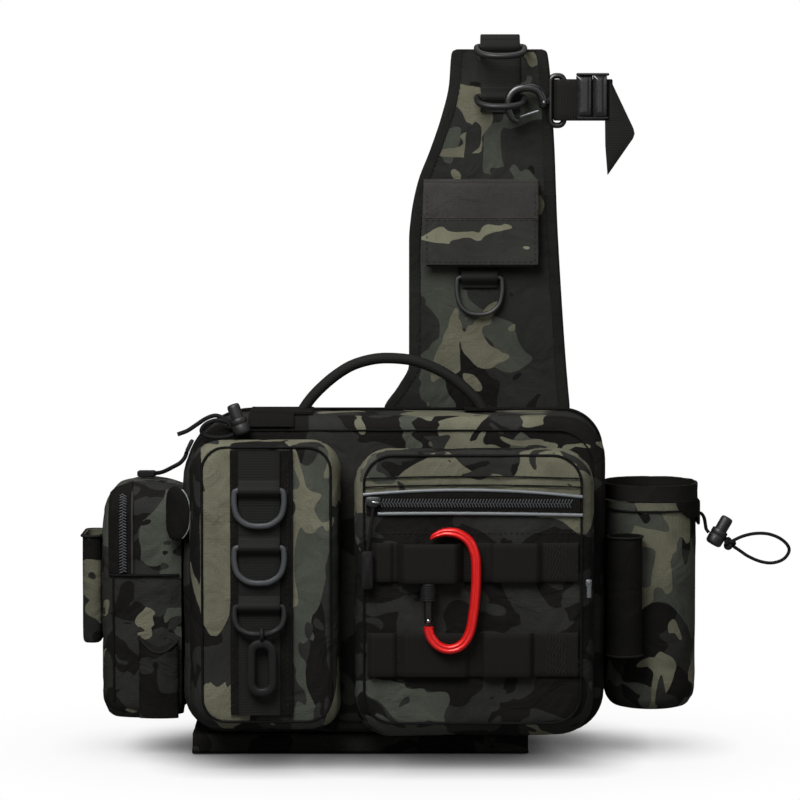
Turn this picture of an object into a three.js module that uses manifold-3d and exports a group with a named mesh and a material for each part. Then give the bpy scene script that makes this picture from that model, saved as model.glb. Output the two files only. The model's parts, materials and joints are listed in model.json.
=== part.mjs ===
// Single-strap fishing backpack: a hollow cloth body with sewn-on pockets, a padded strap and its hardware.
// Millimetres, +Z up, the front faces -Y, and the origin is on the floor under the middle of the body.
import * as THREE from "three";
import { mergeVertices } from "three/addons/utils/BufferGeometryUtils.js";
import Module from "manifold-3d";

const wasm = await Module();
wasm.setup();

// Driving dimensions
const GAP = 0.3;
const CLOTH = 2;
const WEBBING = 1.6;

const BODY = { left: -156.5, right: 156.5, low: 16, high: 253, radius: 32, shoulder: 49.5, wall: 2.5 };
const BODY_FRONT = -55;
const BODY_BACK = 58;
const BODY_CREST = 0;
const BODY_RIM = { ...BODY, high: 247, radius: 24 };
const BODY_EDGE = { face: 10, turn: 3, turnAt: -51.5, shoulderAt: -44 };
const BASE = { left: -150, right: 100, front: -45, back: 50, high: BODY.low - GAP, radius: 5 };
const BACK_PANEL = { inset: 6.5, thick: 7.7, edge: 5 };

const FACE = -103;
const POCKET_RIM = BODY_FRONT - GAP;
const PANEL = { left: -118, right: -73.5, low: 40, high: 231.5, thick: 1.2 };
const RING_STRIP = { centre: -97, width: 30, low: 40, high: 231.5, plane: FACE - GAP - PANEL.thick - GAP };
const RING = { width: 40, height: 30, wire: 4.3 };
const LOW_RING = { width: 40, height: 24.5, wire: 4.3 };
const RING_BARS = { upper: 203.6, middle: 162.3, lower: 119.5 };
const RING_TILT = 4;
const LOW_RING_TILT = 14.5;
const BAR_SPACE = 0.5;
const TUNNEL = { half: 7.5, slack: 0.8 };
const CLIP = { x: -95, width: 20, low: 53.4, thick: 4.5, eye: 4, eyeWire: 1.6 };
const CLIP_SLOT = { width: 10, low: 61, high: 90 };

const ZIP_FRONT = { left: -20, right: 134, low: 186, high: 201, thick: 1.8 };
const MOLLE = { left: -19, right: 133, thick: 1.5 };
const ROW_UPPER = { low: 137, high: 165.4 };
const ROW_LOWER = { low: 68, high: 100 };
const CARABINER = { wire: 3.6, gate: 2.9, pin: [25, -110.8, 109.6], tilt: -3.4, yaw: -2.6 };
const SLEEVE = { bore: 3.2, radius: 5.8, low: 13.9, high: 26.7 };

const SIDE = { out: -218, front: -42, back: 39 };
const SIDE_ZIP = { left: -204, right: -197, low: 134.5, high: 181, radius: 1.5 };
const SHEATH = { left: -233, right: SIDE.out - GAP, front: -24, back: 24, low: 80, high: 161, radius: 6 };
const SHEATH_WALL = 1.8;
const POUCH = { left: -189, right: -160, front: -52, back: SIDE.front - GAP, low: 27, high: 85, radius: 4 };
const POUCH_WALL = 1.5;
const BOTTLE = { left: BODY.right + GAP, right: 227, half: 40, low: 30, rim: 187.2, top: 199.6, radius: 33 };
const BOTTLE_HEM = { wall: 2.6, out: 0.8 };
const HEM_TAB = { left: -15, right: 5, low: 168, high: 186.5, radius: 2 };
const ROD_SLEEVE = { x: 170.3, y: -49.2, radius: 13.2, wall: 1.6, low: 75, high: 164 };

const STRAP_FRONT = 66.3;
const STRAP_TOP = 524;
const STRIP = { left: 66, right: 96, low: 476, high: 530.6 };
const STRAP_BARS = { hook: 488, top: 526 };
const STRAP_RING_TILT = 72;
const STRAP_RING_CENTRE = (STRIP.left + STRIP.right) / 2;
const POUCH_RING = { width: 38, height: 32, wire: 3.4, centre: 65.5, bar: 350, tilt: 3 };
const STRAP_POCKET = { left: 24, right: 108, low: 358, high: 420, front: 55, radius: 4, wall: 1.6 };
const FLAP = { left: 22.5, right: 110, low: 360, sewn: 424.4, thick: 1.8 };
const TAB = { left: 51.5, right: 79.5, low: 342, high: 357.6 };

const HOOK = { y: 52, wire: 2.9, gateWire: 1.5, pin: [109.8, 476.9], tip: [95.9, 472.4] };
const EYE = { left: 117, right: 131, low: 464, high: 505.5, radius: 5, wire: 4 };
const ROD_LOOP = { left: 121.6, right: 166, front: 45, back: 60, low: 469.5, high: 501, radius: 5 };
const ROD_LOOP_THICK = 1.8;
const BUCKLE = { left: 138, right: 163, low: 470.5, high: 505.5, radius: 4 };
const BUCKLE_THICK = 5;
const BUCKLE_BEVEL = 0.9;

const HANDLE_RADIUS = 4;
const PATCH = { left: -107, right: -60, back: 8 };
const PATCH_RIGHT = { left: 53, right: 76, front: -12, back: 12 };
const ZIP_TOP = { front: 24, back: 32, low: 200.5, high: 250.6, radius: 28.7 };
const CORD = 2.5;
const TIE = 3.4;
const LOCK = { radius: 6.3, foot: 4.6, low: -6.5, high: 6, seat: -1.5, bore: 5 };
const BUTTON = { radius: 4.7, tip: 3.8, low: 2.5, high: 17 };
const DRAWSTRING_Y = -5;
const KNOT = { x: 251.1, z: 152.8, radius: 3.4 };
const MAIN_SLIDER = { left: 24.5, right: 31.5, low: -5, high: 5, radius: 2 };
const MAIN_SLIDER_TURN = 25;
const MAIN_GRIP = { left: -193, right: -180, low: -2, high: 8, radius: 2.5 };
const MAIN_GRIP_RISE = { low: 202.6, thick: 4.4 };
const FRONT_GRIP = { left: -23.2, right: -14.8, low: 132, high: 160, radius: 3 };
const FRONT_GRIP_THICK = 5;
const SLIDER_THICK = 3.2;

// Finishes
const CAMO = { color: 0x4b4b43, roughness: 0.9, metalness: 0 };
const BLACK_CLOTH = { color: 0x1f1e1d, roughness: 0.9, metalness: 0 };
const BLACK_WEBBING = { color: 0x242423, roughness: 0.8, metalness: 0 };
const GREY_PLASTIC = { color: 0x54585a, roughness: 0.45, metalness: 0 };
const BLACK_PLASTIC = { color: 0x151515, roughness: 0.4, metalness: 0 };
const RED_METAL = { color: 0xc81e23, roughness: 0.3, metalness: 0.8 };
const STEEL = { color: 0xb9bbbd, roughness: 0.25, metalness: 1 };

const X = new THREE.Vector3(1, 0, 0);
const Y = new THREE.Vector3(0, 1, 0);
const Z = new THREE.Vector3(0, 0, 1);
const FRONT = Y.clone().negate();
const DOWN = Z.clone().negate();
const rad = THREE.MathUtils.degToRad;

const bag = new THREE.Group();
bag.name = "fishing_backpack";

function add(name, geometry, finish, parent = bag) {
  const mesh = new THREE.Mesh(geometry, new THREE.MeshStandardMaterial(finish));
  mesh.name = name;
  parent.add(mesh);
  return mesh;
}

// Points round a rounded rectangle, counter-clockwise, with some on each side between the corners;
// shoulder is the radius of its upper left corner
function roundedRing({ left, right, low, high, radius, shoulder = radius }, cornerSteps, sidePoints) {
  const fit = (r) => Math.min(r, (right - left) / 2.02, (high - low) / 2.02);
  const plain = fit(radius);
  const upper = fit(shoulder);
  const corners = [
    { u: right - plain, v: low + plain, r: plain, from: -90 },
    { u: right - plain, v: high - plain, r: plain, from: 0 },
    { u: left + upper, v: high - upper, r: upper, from: 90 },
    { u: left + plain, v: low + plain, r: plain, from: 180 },
  ];
  const arcs = corners.map(({ u, v, r, from }) =>
    Array.from({ length: cornerSteps + 1 }, (_, step) => {
      const angle = rad(from + (90 * step) / cornerSteps);
      return new THREE.Vector2(u + r * Math.cos(angle), v + r * Math.sin(angle));
    }),
  );
  return arcs.flatMap((arc, i) => {
    const next = arcs[(i + 1) % arcs.length][0];
    const share = (k) => (k + 1) / (sidePoints + 1);
    const side = Array.from({ length: sidePoints }, (_, k) => arc.at(-1).clone().lerp(next, share(k)));
    return [...arc, ...side];
  });
}

const PLACE = {
  x: (along, p) => new THREE.Vector3(along, p.x, p.y),
  y: (along, p) => new THREE.Vector3(p.x, along, p.y),
  z: (along, p) => new THREE.Vector3(p.x, p.y, along),
};

function sectionRing(axis, row, inset, along, steps) {
  const section = {
    left: row.left + inset,
    right: row.right - inset,
    low: row.low + inset,
    high: row.high - inset,
    radius: Math.max(row.radius - inset, 0.5),
    shoulder: Math.max((row.shoulder ?? row.radius) - inset, 0.5),
  };
  return roundedRing(section, steps.corner, steps.side).map((p) => PLACE[axis](along, p));
}

// A closed skin through rings of equal count, fanned shut at both ends and turned to face out
function loft(rings) {
  const count = rings[0].length;
  const centre = (ring) => ring.reduce((sum, p) => sum.add(p), new THREE.Vector3()).divideScalar(count);
  const points = [...rings.flat(), centre(rings[0]), centre(rings.at(-1))];
  const firstCap = points.length - 2;
  const lastCap = points.length - 1;
  const lastRing = (rings.length - 1) * count;
  const faces = [];
  for (let k = 0; k < count; k++) {
    const next = (k + 1) % count;
    for (let start = 0; start < lastRing; start += count) {
      faces.push([start + k, start + next, start + count + next]);
      faces.push([start + k, start + count + next, start + count + k]);
    }
    faces.push([firstCap, next, k]);
    faces.push([lastCap, lastRing + k, lastRing + next]);
  }
  const cross = new THREE.Vector3();
  const volume = faces.reduce(
    (sum, [a, b, c]) => sum + points[a].dot(cross.crossVectors(points[b], points[c])),
    0,
  );
  const facing = volume < 0 ? faces.map(([a, b, c]) => [a, c, b]) : faces;
  const geometry = new THREE.BufferGeometry().setFromPoints(points);
  geometry.setIndex(facing.flat());
  return geometry;
}

// A cloth shell: rows run from its closed end to its open rim
function shell(axis, rows, wall, steps = { corner: 4, side: 1 }) {
  const inward = Math.sign(rows.at(-1).along - rows[0].along) * wall;
  const outer = rows.map((row) => sectionRing(axis, row, 0, row.along, steps));
  const inner = rows.map((row, i) => {
    const depth = inward * (1 - i / (rows.length - 1));
    return sectionRing(axis, row, wall, row.along + depth, steps);
  });
  return loft([...outer, ...inner.reverse()]);
}

function pad(axis, rows, steps = { corner: 3, side: 1 }) {
  return loft(rows.map((row) => sectionRing(axis, row, 0, row.along, steps)));
}

function insetRow(box, along, inset) {
  return {
    along,
    left: box.left + inset,
    right: box.right - inset,
    low: box.low + inset,
    high: box.high - inset,
    radius: box.radius - inset / 2,
    shoulder: (box.shoulder ?? box.radius) - inset / 2,
  };
}

function turned(geometry, u, v, w, origin) {
  return geometry.applyMatrix4(new THREE.Matrix4().makeBasis(u, v, w).setPosition(...origin));
}

function extrude(shape, depth) {
  return new THREE.ExtrudeGeometry(shape, { depth, bevelEnabled: false, curveSegments: 3 });
}

// A plate drawn in X and Z that grows forwards from the plane y
function plate(shape, y, thick) {
  return turned(extrude(shape, thick), X, Z, FRONT, [0, y, 0]);
}

// A profile drawn in Y and Z and drawn out along X
function sideProfile(shape, left, right) {
  return turned(extrude(shape, right - left), Y, Z, X, [left, 0, 0]);
}

function polygon(points) {
  return new THREE.Shape(points.map(([u, v]) => new THREE.Vector2(u, v)));
}

function roundedShape(box) {
  return new THREE.Shape(roundedRing(box, 3, 0));
}

function roundedTube(outer, wall) {
  const shape = roundedShape(outer);
  shape.holes.push(new THREE.Path(roundedRing(insetRow(outer, 0, wall), 3, 0).reverse()));
  return shape;
}

// A flat band of even thickness beside a line of points, on its left as the line runs
function bandShape(line, thick) {
  const points = line.map(([u, v]) => new THREE.Vector2(u, v));
  const beside = points.map((p, i) => {
    const before = p.clone().sub(points[Math.max(i - 1, 0)]).normalize();
    const after = points[Math.min(i + 1, points.length - 1)].clone().sub(p).normalize();
    const along = before.add(after).normalize();
    return p.clone().add(new THREE.Vector2(-along.y, along.x).multiplyScalar(thick));
  });
  return new THREE.Shape([...points, ...beside.reverse()]);
}

function rise(s, bumps) {
  return bumps.reduce((highest, { at, flat, half, height }) => {
    const share = Math.max(0, Math.abs(s - at) - flat) / (half - flat);
    return share < 1 ? Math.max(highest, height * Math.cos((Math.PI / 2) * share) ** 2) : highest;
  }, 0);
}

// Webbing sewn flat, with raised tunnels: a profile of length and rise
function tunnelShape(from, to, thick, bumps) {
  const slope = [0, 0.2, 0.4, 0.6, 0.8, 1];
  const stops = bumps.flatMap(({ at, flat, half }) =>
    slope.flatMap((share) => [at - half + share * (half - flat), at + half - share * (half - flat)]),
  );
  const inside = [from, to, ...stops].filter((s) => s >= from && s <= to);
  const places = [...new Set(inside.map((s) => Number(s.toFixed(3))))].sort((a, b) => a - b);
  const line = places.map((s) => [s, rise(s, bumps)]);
  const back = line.map(([s, height]) => [s, height + thick]).reverse();
  return polygon([...line, ...back]);
}

function uprightWebbing({ left, right, low, high }, plane, bumps, thick = WEBBING) {
  return turned(extrude(tunnelShape(low, high, thick, bumps), right - left), Z, FRONT, X, [left, plane, 0]);
}

function levelWebbing({ low, high }, plane, bumps) {
  const shape = tunnelShape(MOLLE.left, MOLLE.right, MOLLE.thick, bumps);
  return turned(extrude(shape, high - low), X, FRONT, DOWN, [0, plane, high]);
}

function roundSection(radius, sides) {
  const corners = Array.from({ length: sides }, (_, k) => {
    const angle = (2 * Math.PI * k) / sides;
    return new THREE.Vector2(radius * Math.cos(angle), radius * Math.sin(angle));
  });
  return new THREE.Shape(corners);
}

function rod(points, radius, steps, sides = 8) {
  const route = new THREE.CatmullRomCurve3(
    points.map((p) => new THREE.Vector3(...p)),
    false,
    "centripetal",
  );
  return new THREE.ExtrudeGeometry(roundSection(radius, sides), { steps, extrudePath: route });
}

function lathe(profile, sides = 12) {
  const points = profile.map(([r, h]) => new THREE.Vector2(r, h));
  return new THREE.LatheGeometry(points, sides).rotateX(Math.PI / 2);
}

function solidOf(geometry) {
  const bare = geometry.clone();
  bare.deleteAttribute("normal");
  bare.deleteAttribute("uv");
  const merged = mergeVertices(bare, 1e-4);
  const mesh = new wasm.Mesh({
    numProp: 3,
    vertProperties: new Float32Array(merged.attributes.position.array),
    triVerts: new Uint32Array(merged.index.array),
  });
  return new wasm.Manifold(mesh);
}

function joined(first, second) {
  const mesh = solidOf(first).add(solidOf(second)).getMesh();
  const corners = new Float32Array(mesh.vertProperties);
  const geometry = new THREE.BufferGeometry();
  geometry.setAttribute("position", new THREE.BufferAttribute(corners, mesh.numProp));
  geometry.setIndex(Array.from(mesh.triVerts));
  return geometry;
}

// A D-ring hanging from the middle of its straight bar, in the plane of X and Z
function ringGeometry({ width, height, wire }) {
  const half = (width - wire) / 2;
  const drop = height - wire;
  const quarter = [
    [0.6, 0],
    [0.93, 0.02],
    [1, 0.14],
    [1, 0.42],
    [0.86, 0.74],
    [0.48, 0.95],
  ];
  const right = quarter.map(([side, down]) => new THREE.Vector3(side * half, 0, -down * drop));
  const left = right.map((p) => new THREE.Vector3(-p.x, 0, p.z)).reverse();
  const path = [new THREE.Vector3(), ...right, new THREE.Vector3(0, 0, -drop), ...left];
  const curve = new THREE.CatmullRomCurve3(path, true, "centripetal");
  return new THREE.TubeGeometry(curve, 26, wire / 2, 6, true);
}

function hangRing(name, ring, place, tilt, finish) {
  const mesh = add(name, ringGeometry(ring), finish);
  mesh.position.set(...place);
  mesh.rotation.x = -rad(tilt);
  return mesh;
}

function barTunnel(at, wire) {
  return { at, flat: 0, half: TUNNEL.half, height: wire + BAR_SPACE + TUNNEL.slack };
}

// Main body, its padded back and the sleeve that it stands on
function makeBody() {
  const rows = [
    insetRow(BODY, BODY_FRONT, BODY_EDGE.face),
    insetRow(BODY, BODY_EDGE.turnAt, BODY_EDGE.turn),
    insetRow(BODY, BODY_EDGE.shoulderAt, 0),
    insetRow(BODY, BODY_CREST, 0),
    insetRow(BODY_RIM, BODY_BACK, 0),
  ];
  add("main_body", shell("y", rows, BODY.wall), CAMO);

  const near = BODY_BACK + GAP;
  const panel = [
    insetRow(BODY_RIM, near, BACK_PANEL.inset - BACK_PANEL.edge),
    insetRow(BODY_RIM, near + BACK_PANEL.thick / 2, BACK_PANEL.inset - BACK_PANEL.edge),
    insetRow(BODY_RIM, near + BACK_PANEL.thick, BACK_PANEL.inset),
  ];
  add("back_panel", pad("y", panel, { corner: 4, side: 1 }), BLACK_CLOTH);

  const outline = { left: BASE.front, right: BASE.back, low: 0, high: BASE.high, radius: BASE.radius };
  add("base_sleeve", sideProfile(roundedTube(outline, CLOTH), BASE.left, BASE.right), BLACK_CLOTH);
}

// Top zip over the body's shoulders, with its slider and pull
function makeMainZip() {
  const arc = (x, radius, from) =>
    [0, 22.5, 45, 67.5, 90].map((turn) => [
      x + (radius + GAP) * Math.cos(rad(from - turn)),
      ZIP_TOP.high - radius + (radius + GAP) * Math.sin(rad(from - turn)),
    ]);
  const line = [
    [BODY.left - GAP, ZIP_TOP.low],
    ...arc(BODY.left + BODY.shoulder, BODY.shoulder, 180),
    ...arc(BODY.right - ZIP_TOP.radius, ZIP_TOP.radius, 90),
    [BODY.right + GAP, ZIP_TOP.low],
  ];
  const strip = extrude(bandShape(line, WEBBING), ZIP_TOP.back - ZIP_TOP.front);
  add("main_zipper", turned(strip, X, Z, FRONT, [0, ZIP_TOP.back, 0]), BLACK_CLOTH);

  const turn = rad(MAIN_SLIDER_TURN);
  const outward = new THREE.Vector3(-Math.cos(turn), 0, Math.sin(turn));
  const down = outward.clone().cross(Y);
  const reach = BODY.shoulder + GAP + WEBBING + GAP;
  const seat = new THREE.Vector3(BODY.left + BODY.shoulder, 0, ZIP_TOP.high - BODY.shoulder);
  seat.addScaledVector(outward, reach);
  const slider = extrude(roundedShape(MAIN_SLIDER), SLIDER_THICK);
  add("main_slider", turned(slider, Y, down, outward, seat.toArray()), BLACK_PLASTIC);

  const route = [
    [-157.5, 28, 218.6],
    [-158.9, 27.6, 214.6],
    [-162.4, 25, 210.6],
    [-167.5, 21, 208],
    [-173, 14, 205.6],
    [-176.5, 7.5, 205],
    [-178.8, 4.5, 205],
  ];
  add("main_pull_cord", rod(route, CORD / 2, 10), BLACK_WEBBING);
  const grip = extrude(roundedShape(MAIN_GRIP), MAIN_GRIP_RISE.thick);
  add("main_pull_grip", grip.translate(0, 0, MAIN_GRIP_RISE.low), BLACK_PLASTIC);
}

// Front left pocket with its black panel, ring webbing, rings and clip
function makeFrontLeft() {
  const rows = [
    { along: FACE, left: -137, right: -47, low: 36, high: 233, radius: 16 },
    { along: -101, left: -141, right: -43.5, low: 32.5, high: 235.6, radius: 18 },
    { along: -94, left: -146, right: -40, low: 28, high: 237, radius: 20 },
    { along: -78, left: -149.5, right: -38, low: 25, high: 238, radius: 22 },
    { along: POCKET_RIM, left: -145, right: -42, low: 28, high: 236, radius: 22 },
  ];
  add("front_left_pocket", shell("y", rows, CLOTH), CAMO);
  add("front_left_panel", plate(roundedShape({ ...PANEL, radius: 2 }), FACE - GAP, PANEL.thick), BLACK_CLOTH);

  const strip = {
    left: RING_STRIP.centre - RING_STRIP.width / 2,
    right: RING_STRIP.centre + RING_STRIP.width / 2,
    low: RING_STRIP.low,
    high: RING_STRIP.high,
  };
  const tunnels = Object.values(RING_BARS).map((bar) => barTunnel(bar, RING.wire));
  add("ring_webbing", uprightWebbing(strip, RING_STRIP.plane, tunnels), BLACK_WEBBING);

  const barPlane = RING_STRIP.plane - RING.wire / 2 - BAR_SPACE;
  const at = (bar) => [RING_STRIP.centre, barPlane, bar];
  hangRing("pocket_ring_upper", RING, at(RING_BARS.upper), RING_TILT, GREY_PLASTIC);
  hangRing("pocket_ring_middle", RING, at(RING_BARS.middle), RING_TILT, GREY_PLASTIC);
  hangRing("pocket_ring_lower", LOW_RING, at(RING_BARS.lower), LOW_RING_TILT, BLACK_PLASTIC);

  const drop = LOW_RING.height - LOW_RING.wire;
  const hangY = barPlane - drop * Math.sin(rad(LOW_RING_TILT));
  const hangZ = RING_BARS.lower - drop * Math.cos(rad(LOW_RING_TILT));
  const frame = roundedShape({
    left: CLIP.x - CLIP.width / 2,
    right: CLIP.x + CLIP.width / 2,
    low: CLIP.low,
    high: hangZ - CLIP.eye + CLIP.eyeWire / 2,
    radius: CLIP.width / 2,
  });
  const slot = {
    left: CLIP.x - CLIP_SLOT.width / 2,
    right: CLIP.x + CLIP_SLOT.width / 2,
    low: CLIP_SLOT.low,
    high: CLIP_SLOT.high,
    radius: CLIP_SLOT.width / 2,
  };
  frame.holes.push(new THREE.Path(roundedRing(slot, 3, 0).reverse()));
  const eye = new THREE.TorusGeometry(CLIP.eye, CLIP.eyeWire, 8, 14);
  eye.rotateY(Math.PI / 2).translate(CLIP.x, hangY, hangZ);
  add("clip_loop", joined(plate(frame, hangY + CLIP.thick / 2, CLIP.thick), eye), GREY_PLASTIC);
}

// Front right pocket with its zip and two rows of looped webbing
function makeFrontRight() {
  const rows = [
    { along: FACE, left: -20, right: 134, low: 35, high: 227, radius: 20 },
    { along: -101, left: -24, right: 138, low: 31, high: 230.5, radius: 22 },
    { along: -94, left: -28, right: 143.5, low: 25, high: 232, radius: 25 },
    { along: -78, left: -29.5, right: 146.5, low: 20, high: 232, radius: 27 },
    { along: POCKET_RIM, left: -26, right: 143, low: 27, high: 229, radius: 27 },
  ];
  add("front_right_pocket", shell("y", rows, CLOTH), CAMO);

  const zipPlane = FACE - GAP;
  const tape = roundedShape({ ...ZIP_FRONT, radius: 2 });
  add("front_zipper", plate(tape, zipPlane, ZIP_FRONT.thick), BLACK_CLOTH);
  const sliderPlane = zipPlane - ZIP_FRONT.thick - GAP;
  const slider = polygon([
    [-20, 199],
    [-20, 194],
    [-16.5, 191.5],
    [-13, 191.5],
    [-9.5, 194],
    [-9.5, 199],
  ]);
  add("front_slider", plate(slider, sliderPlane, SLIDER_THICK), BLACK_PLASTIC);
  const cord = [
    [-14.8, sliderPlane - 2, 191.1],
    [-15.6, sliderPlane - 2.6, 183],
    [-17.2, sliderPlane - 3, 172],
    [-18.9, sliderPlane - 3, 160.4],
  ];
  add("front_pull_cord", rod(cord, CORD / 2, 8), BLACK_WEBBING);
  const grip = plate(roundedShape(FRONT_GRIP), sliderPlane - BAR_SPACE, FRONT_GRIP_THICK);
  add("front_pull_grip", grip, BLACK_PLASTIC);

  const upper = [
    { at: -7, flat: 4, half: 7, height: 1.5 },
    { at: 26, flat: 17, half: 25, height: 9.8 },
    { at: 88, flat: 14, half: 20, height: 4 },
  ];
  const lower = [
    { at: -8, flat: 7, half: 11, height: 2.5 },
    { at: 30, flat: 20, half: 26, height: 3 },
    { at: 82, flat: 15, half: 20, height: 4 },
  ];
  add("molle_row_upper", levelWebbing(ROW_UPPER, FACE - GAP, upper), BLACK_WEBBING);
  add("molle_row_lower", levelWebbing(ROW_LOWER, FACE - GAP, lower), BLACK_WEBBING);
}

// Carabiner threaded behind the upper webbing row, drawn from its gate pin as X across and Z up
function makeCarabiner() {
  const yawed = new THREE.Group();
  yawed.position.set(...CARABINER.pin);
  yawed.rotation.z = rad(CARABINER.yaw);
  const hung = new THREE.Group();
  hung.rotation.x = rad(CARABINER.tilt);
  yawed.add(hung);
  bag.add(yawed);

  const centreLine = [
    [1.2, 59],
    [5, 61.8],
    [12.5, 64],
    [21.5, 62.8],
    [29.2, 57.4],
    [33.4, 48],
    [34.4, 38],
    [34, 22],
    [32.6, 7],
    [29.8, -8],
    [24.2, -17],
    [15.8, -20.4],
    [7.6, -18.2],
    [2.2, -12.4],
    [0.4, -7],
    [0.2, -4],
  ];
  const body = rod(
    centreLine.map(([x, z]) => [x, 0, z]),
    CARABINER.wire,
    34,
  );
  add("carabiner_body", body, RED_METAL, hung);
  const gate = lathe([
    [0, -2.2],
    [CARABINER.gate, -2.2],
    [CARABINER.gate, 54.6],
    [0, 54.6],
  ]);
  add("carabiner_gate", gate, RED_METAL, hung);
  const sleeve = lathe([
    [SLEEVE.bore, SLEEVE.low],
    [SLEEVE.radius - 0.6, SLEEVE.low],
    [SLEEVE.radius, SLEEVE.low + 0.8],
    [SLEEVE.radius, SLEEVE.high - 0.8],
    [SLEEVE.radius - 0.6, SLEEVE.high],
    [SLEEVE.bore, SLEEVE.high],
    [SLEEVE.bore, SLEEVE.low],
  ]);
  add("carabiner_sleeve", sleeve, BLACK_PLASTIC, hung);
}

// Left side pocket with its zip, open pouch and tool sheath; in these rows left is the front, right the back
function makeLeftSide() {
  const rows = [
    { along: SIDE.out, left: -30, right: 26, low: 36, high: 180, radius: 12, shoulder: 22 },
    { along: -214, left: -37, right: 33, low: 28, high: 190, radius: 13, shoulder: 24 },
    { along: -206, left: -41, right: 38, low: 24.5, high: 198, radius: 14, shoulder: 24 },
    { along: -190, left: SIDE.front, right: SIDE.back, low: 24, high: 202, radius: 14, shoulder: 24 },
    { along: -172, left: SIDE.front, right: SIDE.back, low: 24.5, high: 200, radius: 14, shoulder: 24 },
    { along: BODY.left - GAP, left: -39, right: 36, low: 27, high: 196, radius: 14, shoulder: 24 },
  ];
  add("side_pocket", shell("x", rows, CLOTH), CAMO);
  add("side_zipper", plate(roundedShape(SIDE_ZIP), SIDE.front - GAP, WEBBING), BLACK_CLOTH);

  const cup = (box) => {
    const plan = { left: box.left, right: box.right, low: box.front, high: box.back, radius: box.radius };
    return [insetRow(plan, box.low, 1.5), insetRow(plan, box.low + 2.5, 0), insetRow(plan, box.high, 0)];
  };
  add("cargo_pouch", shell("z", cup(POUCH), POUCH_WALL, { corner: 2, side: 0 }), CAMO);
  add("plier_sheath", shell("z", cup(SHEATH), SHEATH_WALL, { corner: 2, side: 0 }), BLACK_CLOTH);
}

// Bottle pocket with its hem, drawstring and the rod sleeve before it
function makeRightSide() {
  const plan = { ...BOTTLE, low: -BOTTLE.half, high: BOTTLE.half };
  const rows = [
    insetRow(plan, BOTTLE.low, 11),
    insetRow(plan, BOTTLE.low + 3, 4),
    insetRow(plan, BOTTLE.low + 12, 0.6),
    insetRow(plan, BOTTLE.low + 70, 0),
    insetRow(plan, BOTTLE.rim, 0),
  ];
  add("bottle_pocket", shell("z", rows, CLOTH), CAMO);
  const hemPlan = { ...plan, right: plan.right + BOTTLE_HEM.out };
  const hem = extrude(roundedTube(hemPlan, BOTTLE_HEM.wall), BOTTLE.top - BOTTLE.rim - GAP);
  add("bottle_hem", hem.translate(0, 0, BOTTLE.rim + GAP), BLACK_WEBBING);
  const tabFace = BOTTLE.right + GAP;
  add("hem_tab", sideProfile(roundedShape(HEM_TAB), tabFace, tabFace + WEBBING), BLACK_WEBBING);

  const { x, y, radius, wall } = ROD_SLEEVE;
  const ring = new THREE.Shape().absarc(x, y, radius, 0, 2 * Math.PI);
  ring.holes.push(new THREE.Path().absarc(x, y, radius - wall, 0, 2 * Math.PI, true));
  const length = ROD_SLEEVE.high - ROD_SLEEVE.low;
  const tube = new THREE.ExtrudeGeometry(ring, { depth: length, bevelEnabled: false, curveSegments: 9 });
  add("rod_sleeve", tube.translate(0, 0, ROD_SLEEVE.low), BLACK_CLOTH);
}

// A barrel lock and its push button, on an axis in X and Z
function makeLock(bodyName, buttonName, place, axis) {
  const lock = new THREE.Group();
  lock.position.set(...place);
  lock.quaternion.setFromUnitVectors(Z, new THREE.Vector3(axis[0], 0, axis[1]).normalize());
  bag.add(lock);
  const barrel = lathe([
    [0, LOCK.low],
    [LOCK.foot, LOCK.low],
    [LOCK.radius, LOCK.low + 1.7],
    [LOCK.radius, LOCK.high - 1],
    [LOCK.radius - 0.7, LOCK.high],
    [LOCK.bore, LOCK.high],
    [LOCK.bore, LOCK.seat],
    [0, LOCK.seat],
  ]);
  add(bodyName, barrel, BLACK_PLASTIC, lock);
  const button = lathe([
    [0, BUTTON.low],
    [BUTTON.radius, BUTTON.low],
    [BUTTON.radius, BUTTON.high - 1.4],
    [BUTTON.tip, BUTTON.high],
    [0, BUTTON.high],
  ]);
  add(buttonName, button, BLACK_PLASTIC, lock);
}

// Drawstring of the bottle pocket: tie, lock, knot and loop
function makeDrawstring() {
  const y = DRAWSTRING_Y;
  makeLock("drawstring_lock", "drawstring_button", [242.3, y, 157.8], [9.7, 17.2]);
  const tie = [
    [229.3, y, 175.6],
    [230.7, y, 175.4],
    [232.7, y, 172.4],
    [233.7, y, 167.4],
    [234.4, y, 163.8],
    [236.2, y, 161.3],
  ];
  add("drawstring_tie", rod(tie, TIE / 2, 7), BLACK_WEBBING);
  const knot = new THREE.SphereGeometry(KNOT.radius, 10, 7);
  add("drawstring_knot", knot.translate(KNOT.x, y, KNOT.z), BLACK_WEBBING);
  const loop = [
    [254.6, y, 155],
    [262, y - 1, 158.5],
    [271, y - 2, 160.6],
    [280.5, y - 3, 160.4],
    [289, y - 3, 157.3],
    [295, y - 3, 152.2],
    [296.3, y - 3, 147],
    [292, y - 3, 141.2],
    [284, y - 2, 138.4],
    [275, y - 1, 139.4],
    [266, y, 143.2],
    [259.5, y, 147.6],
    [254.9, y, 150.6],
  ];
  add("drawstring_loop", rod(loop, CORD / 2, 20), BLACK_WEBBING);
}

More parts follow.
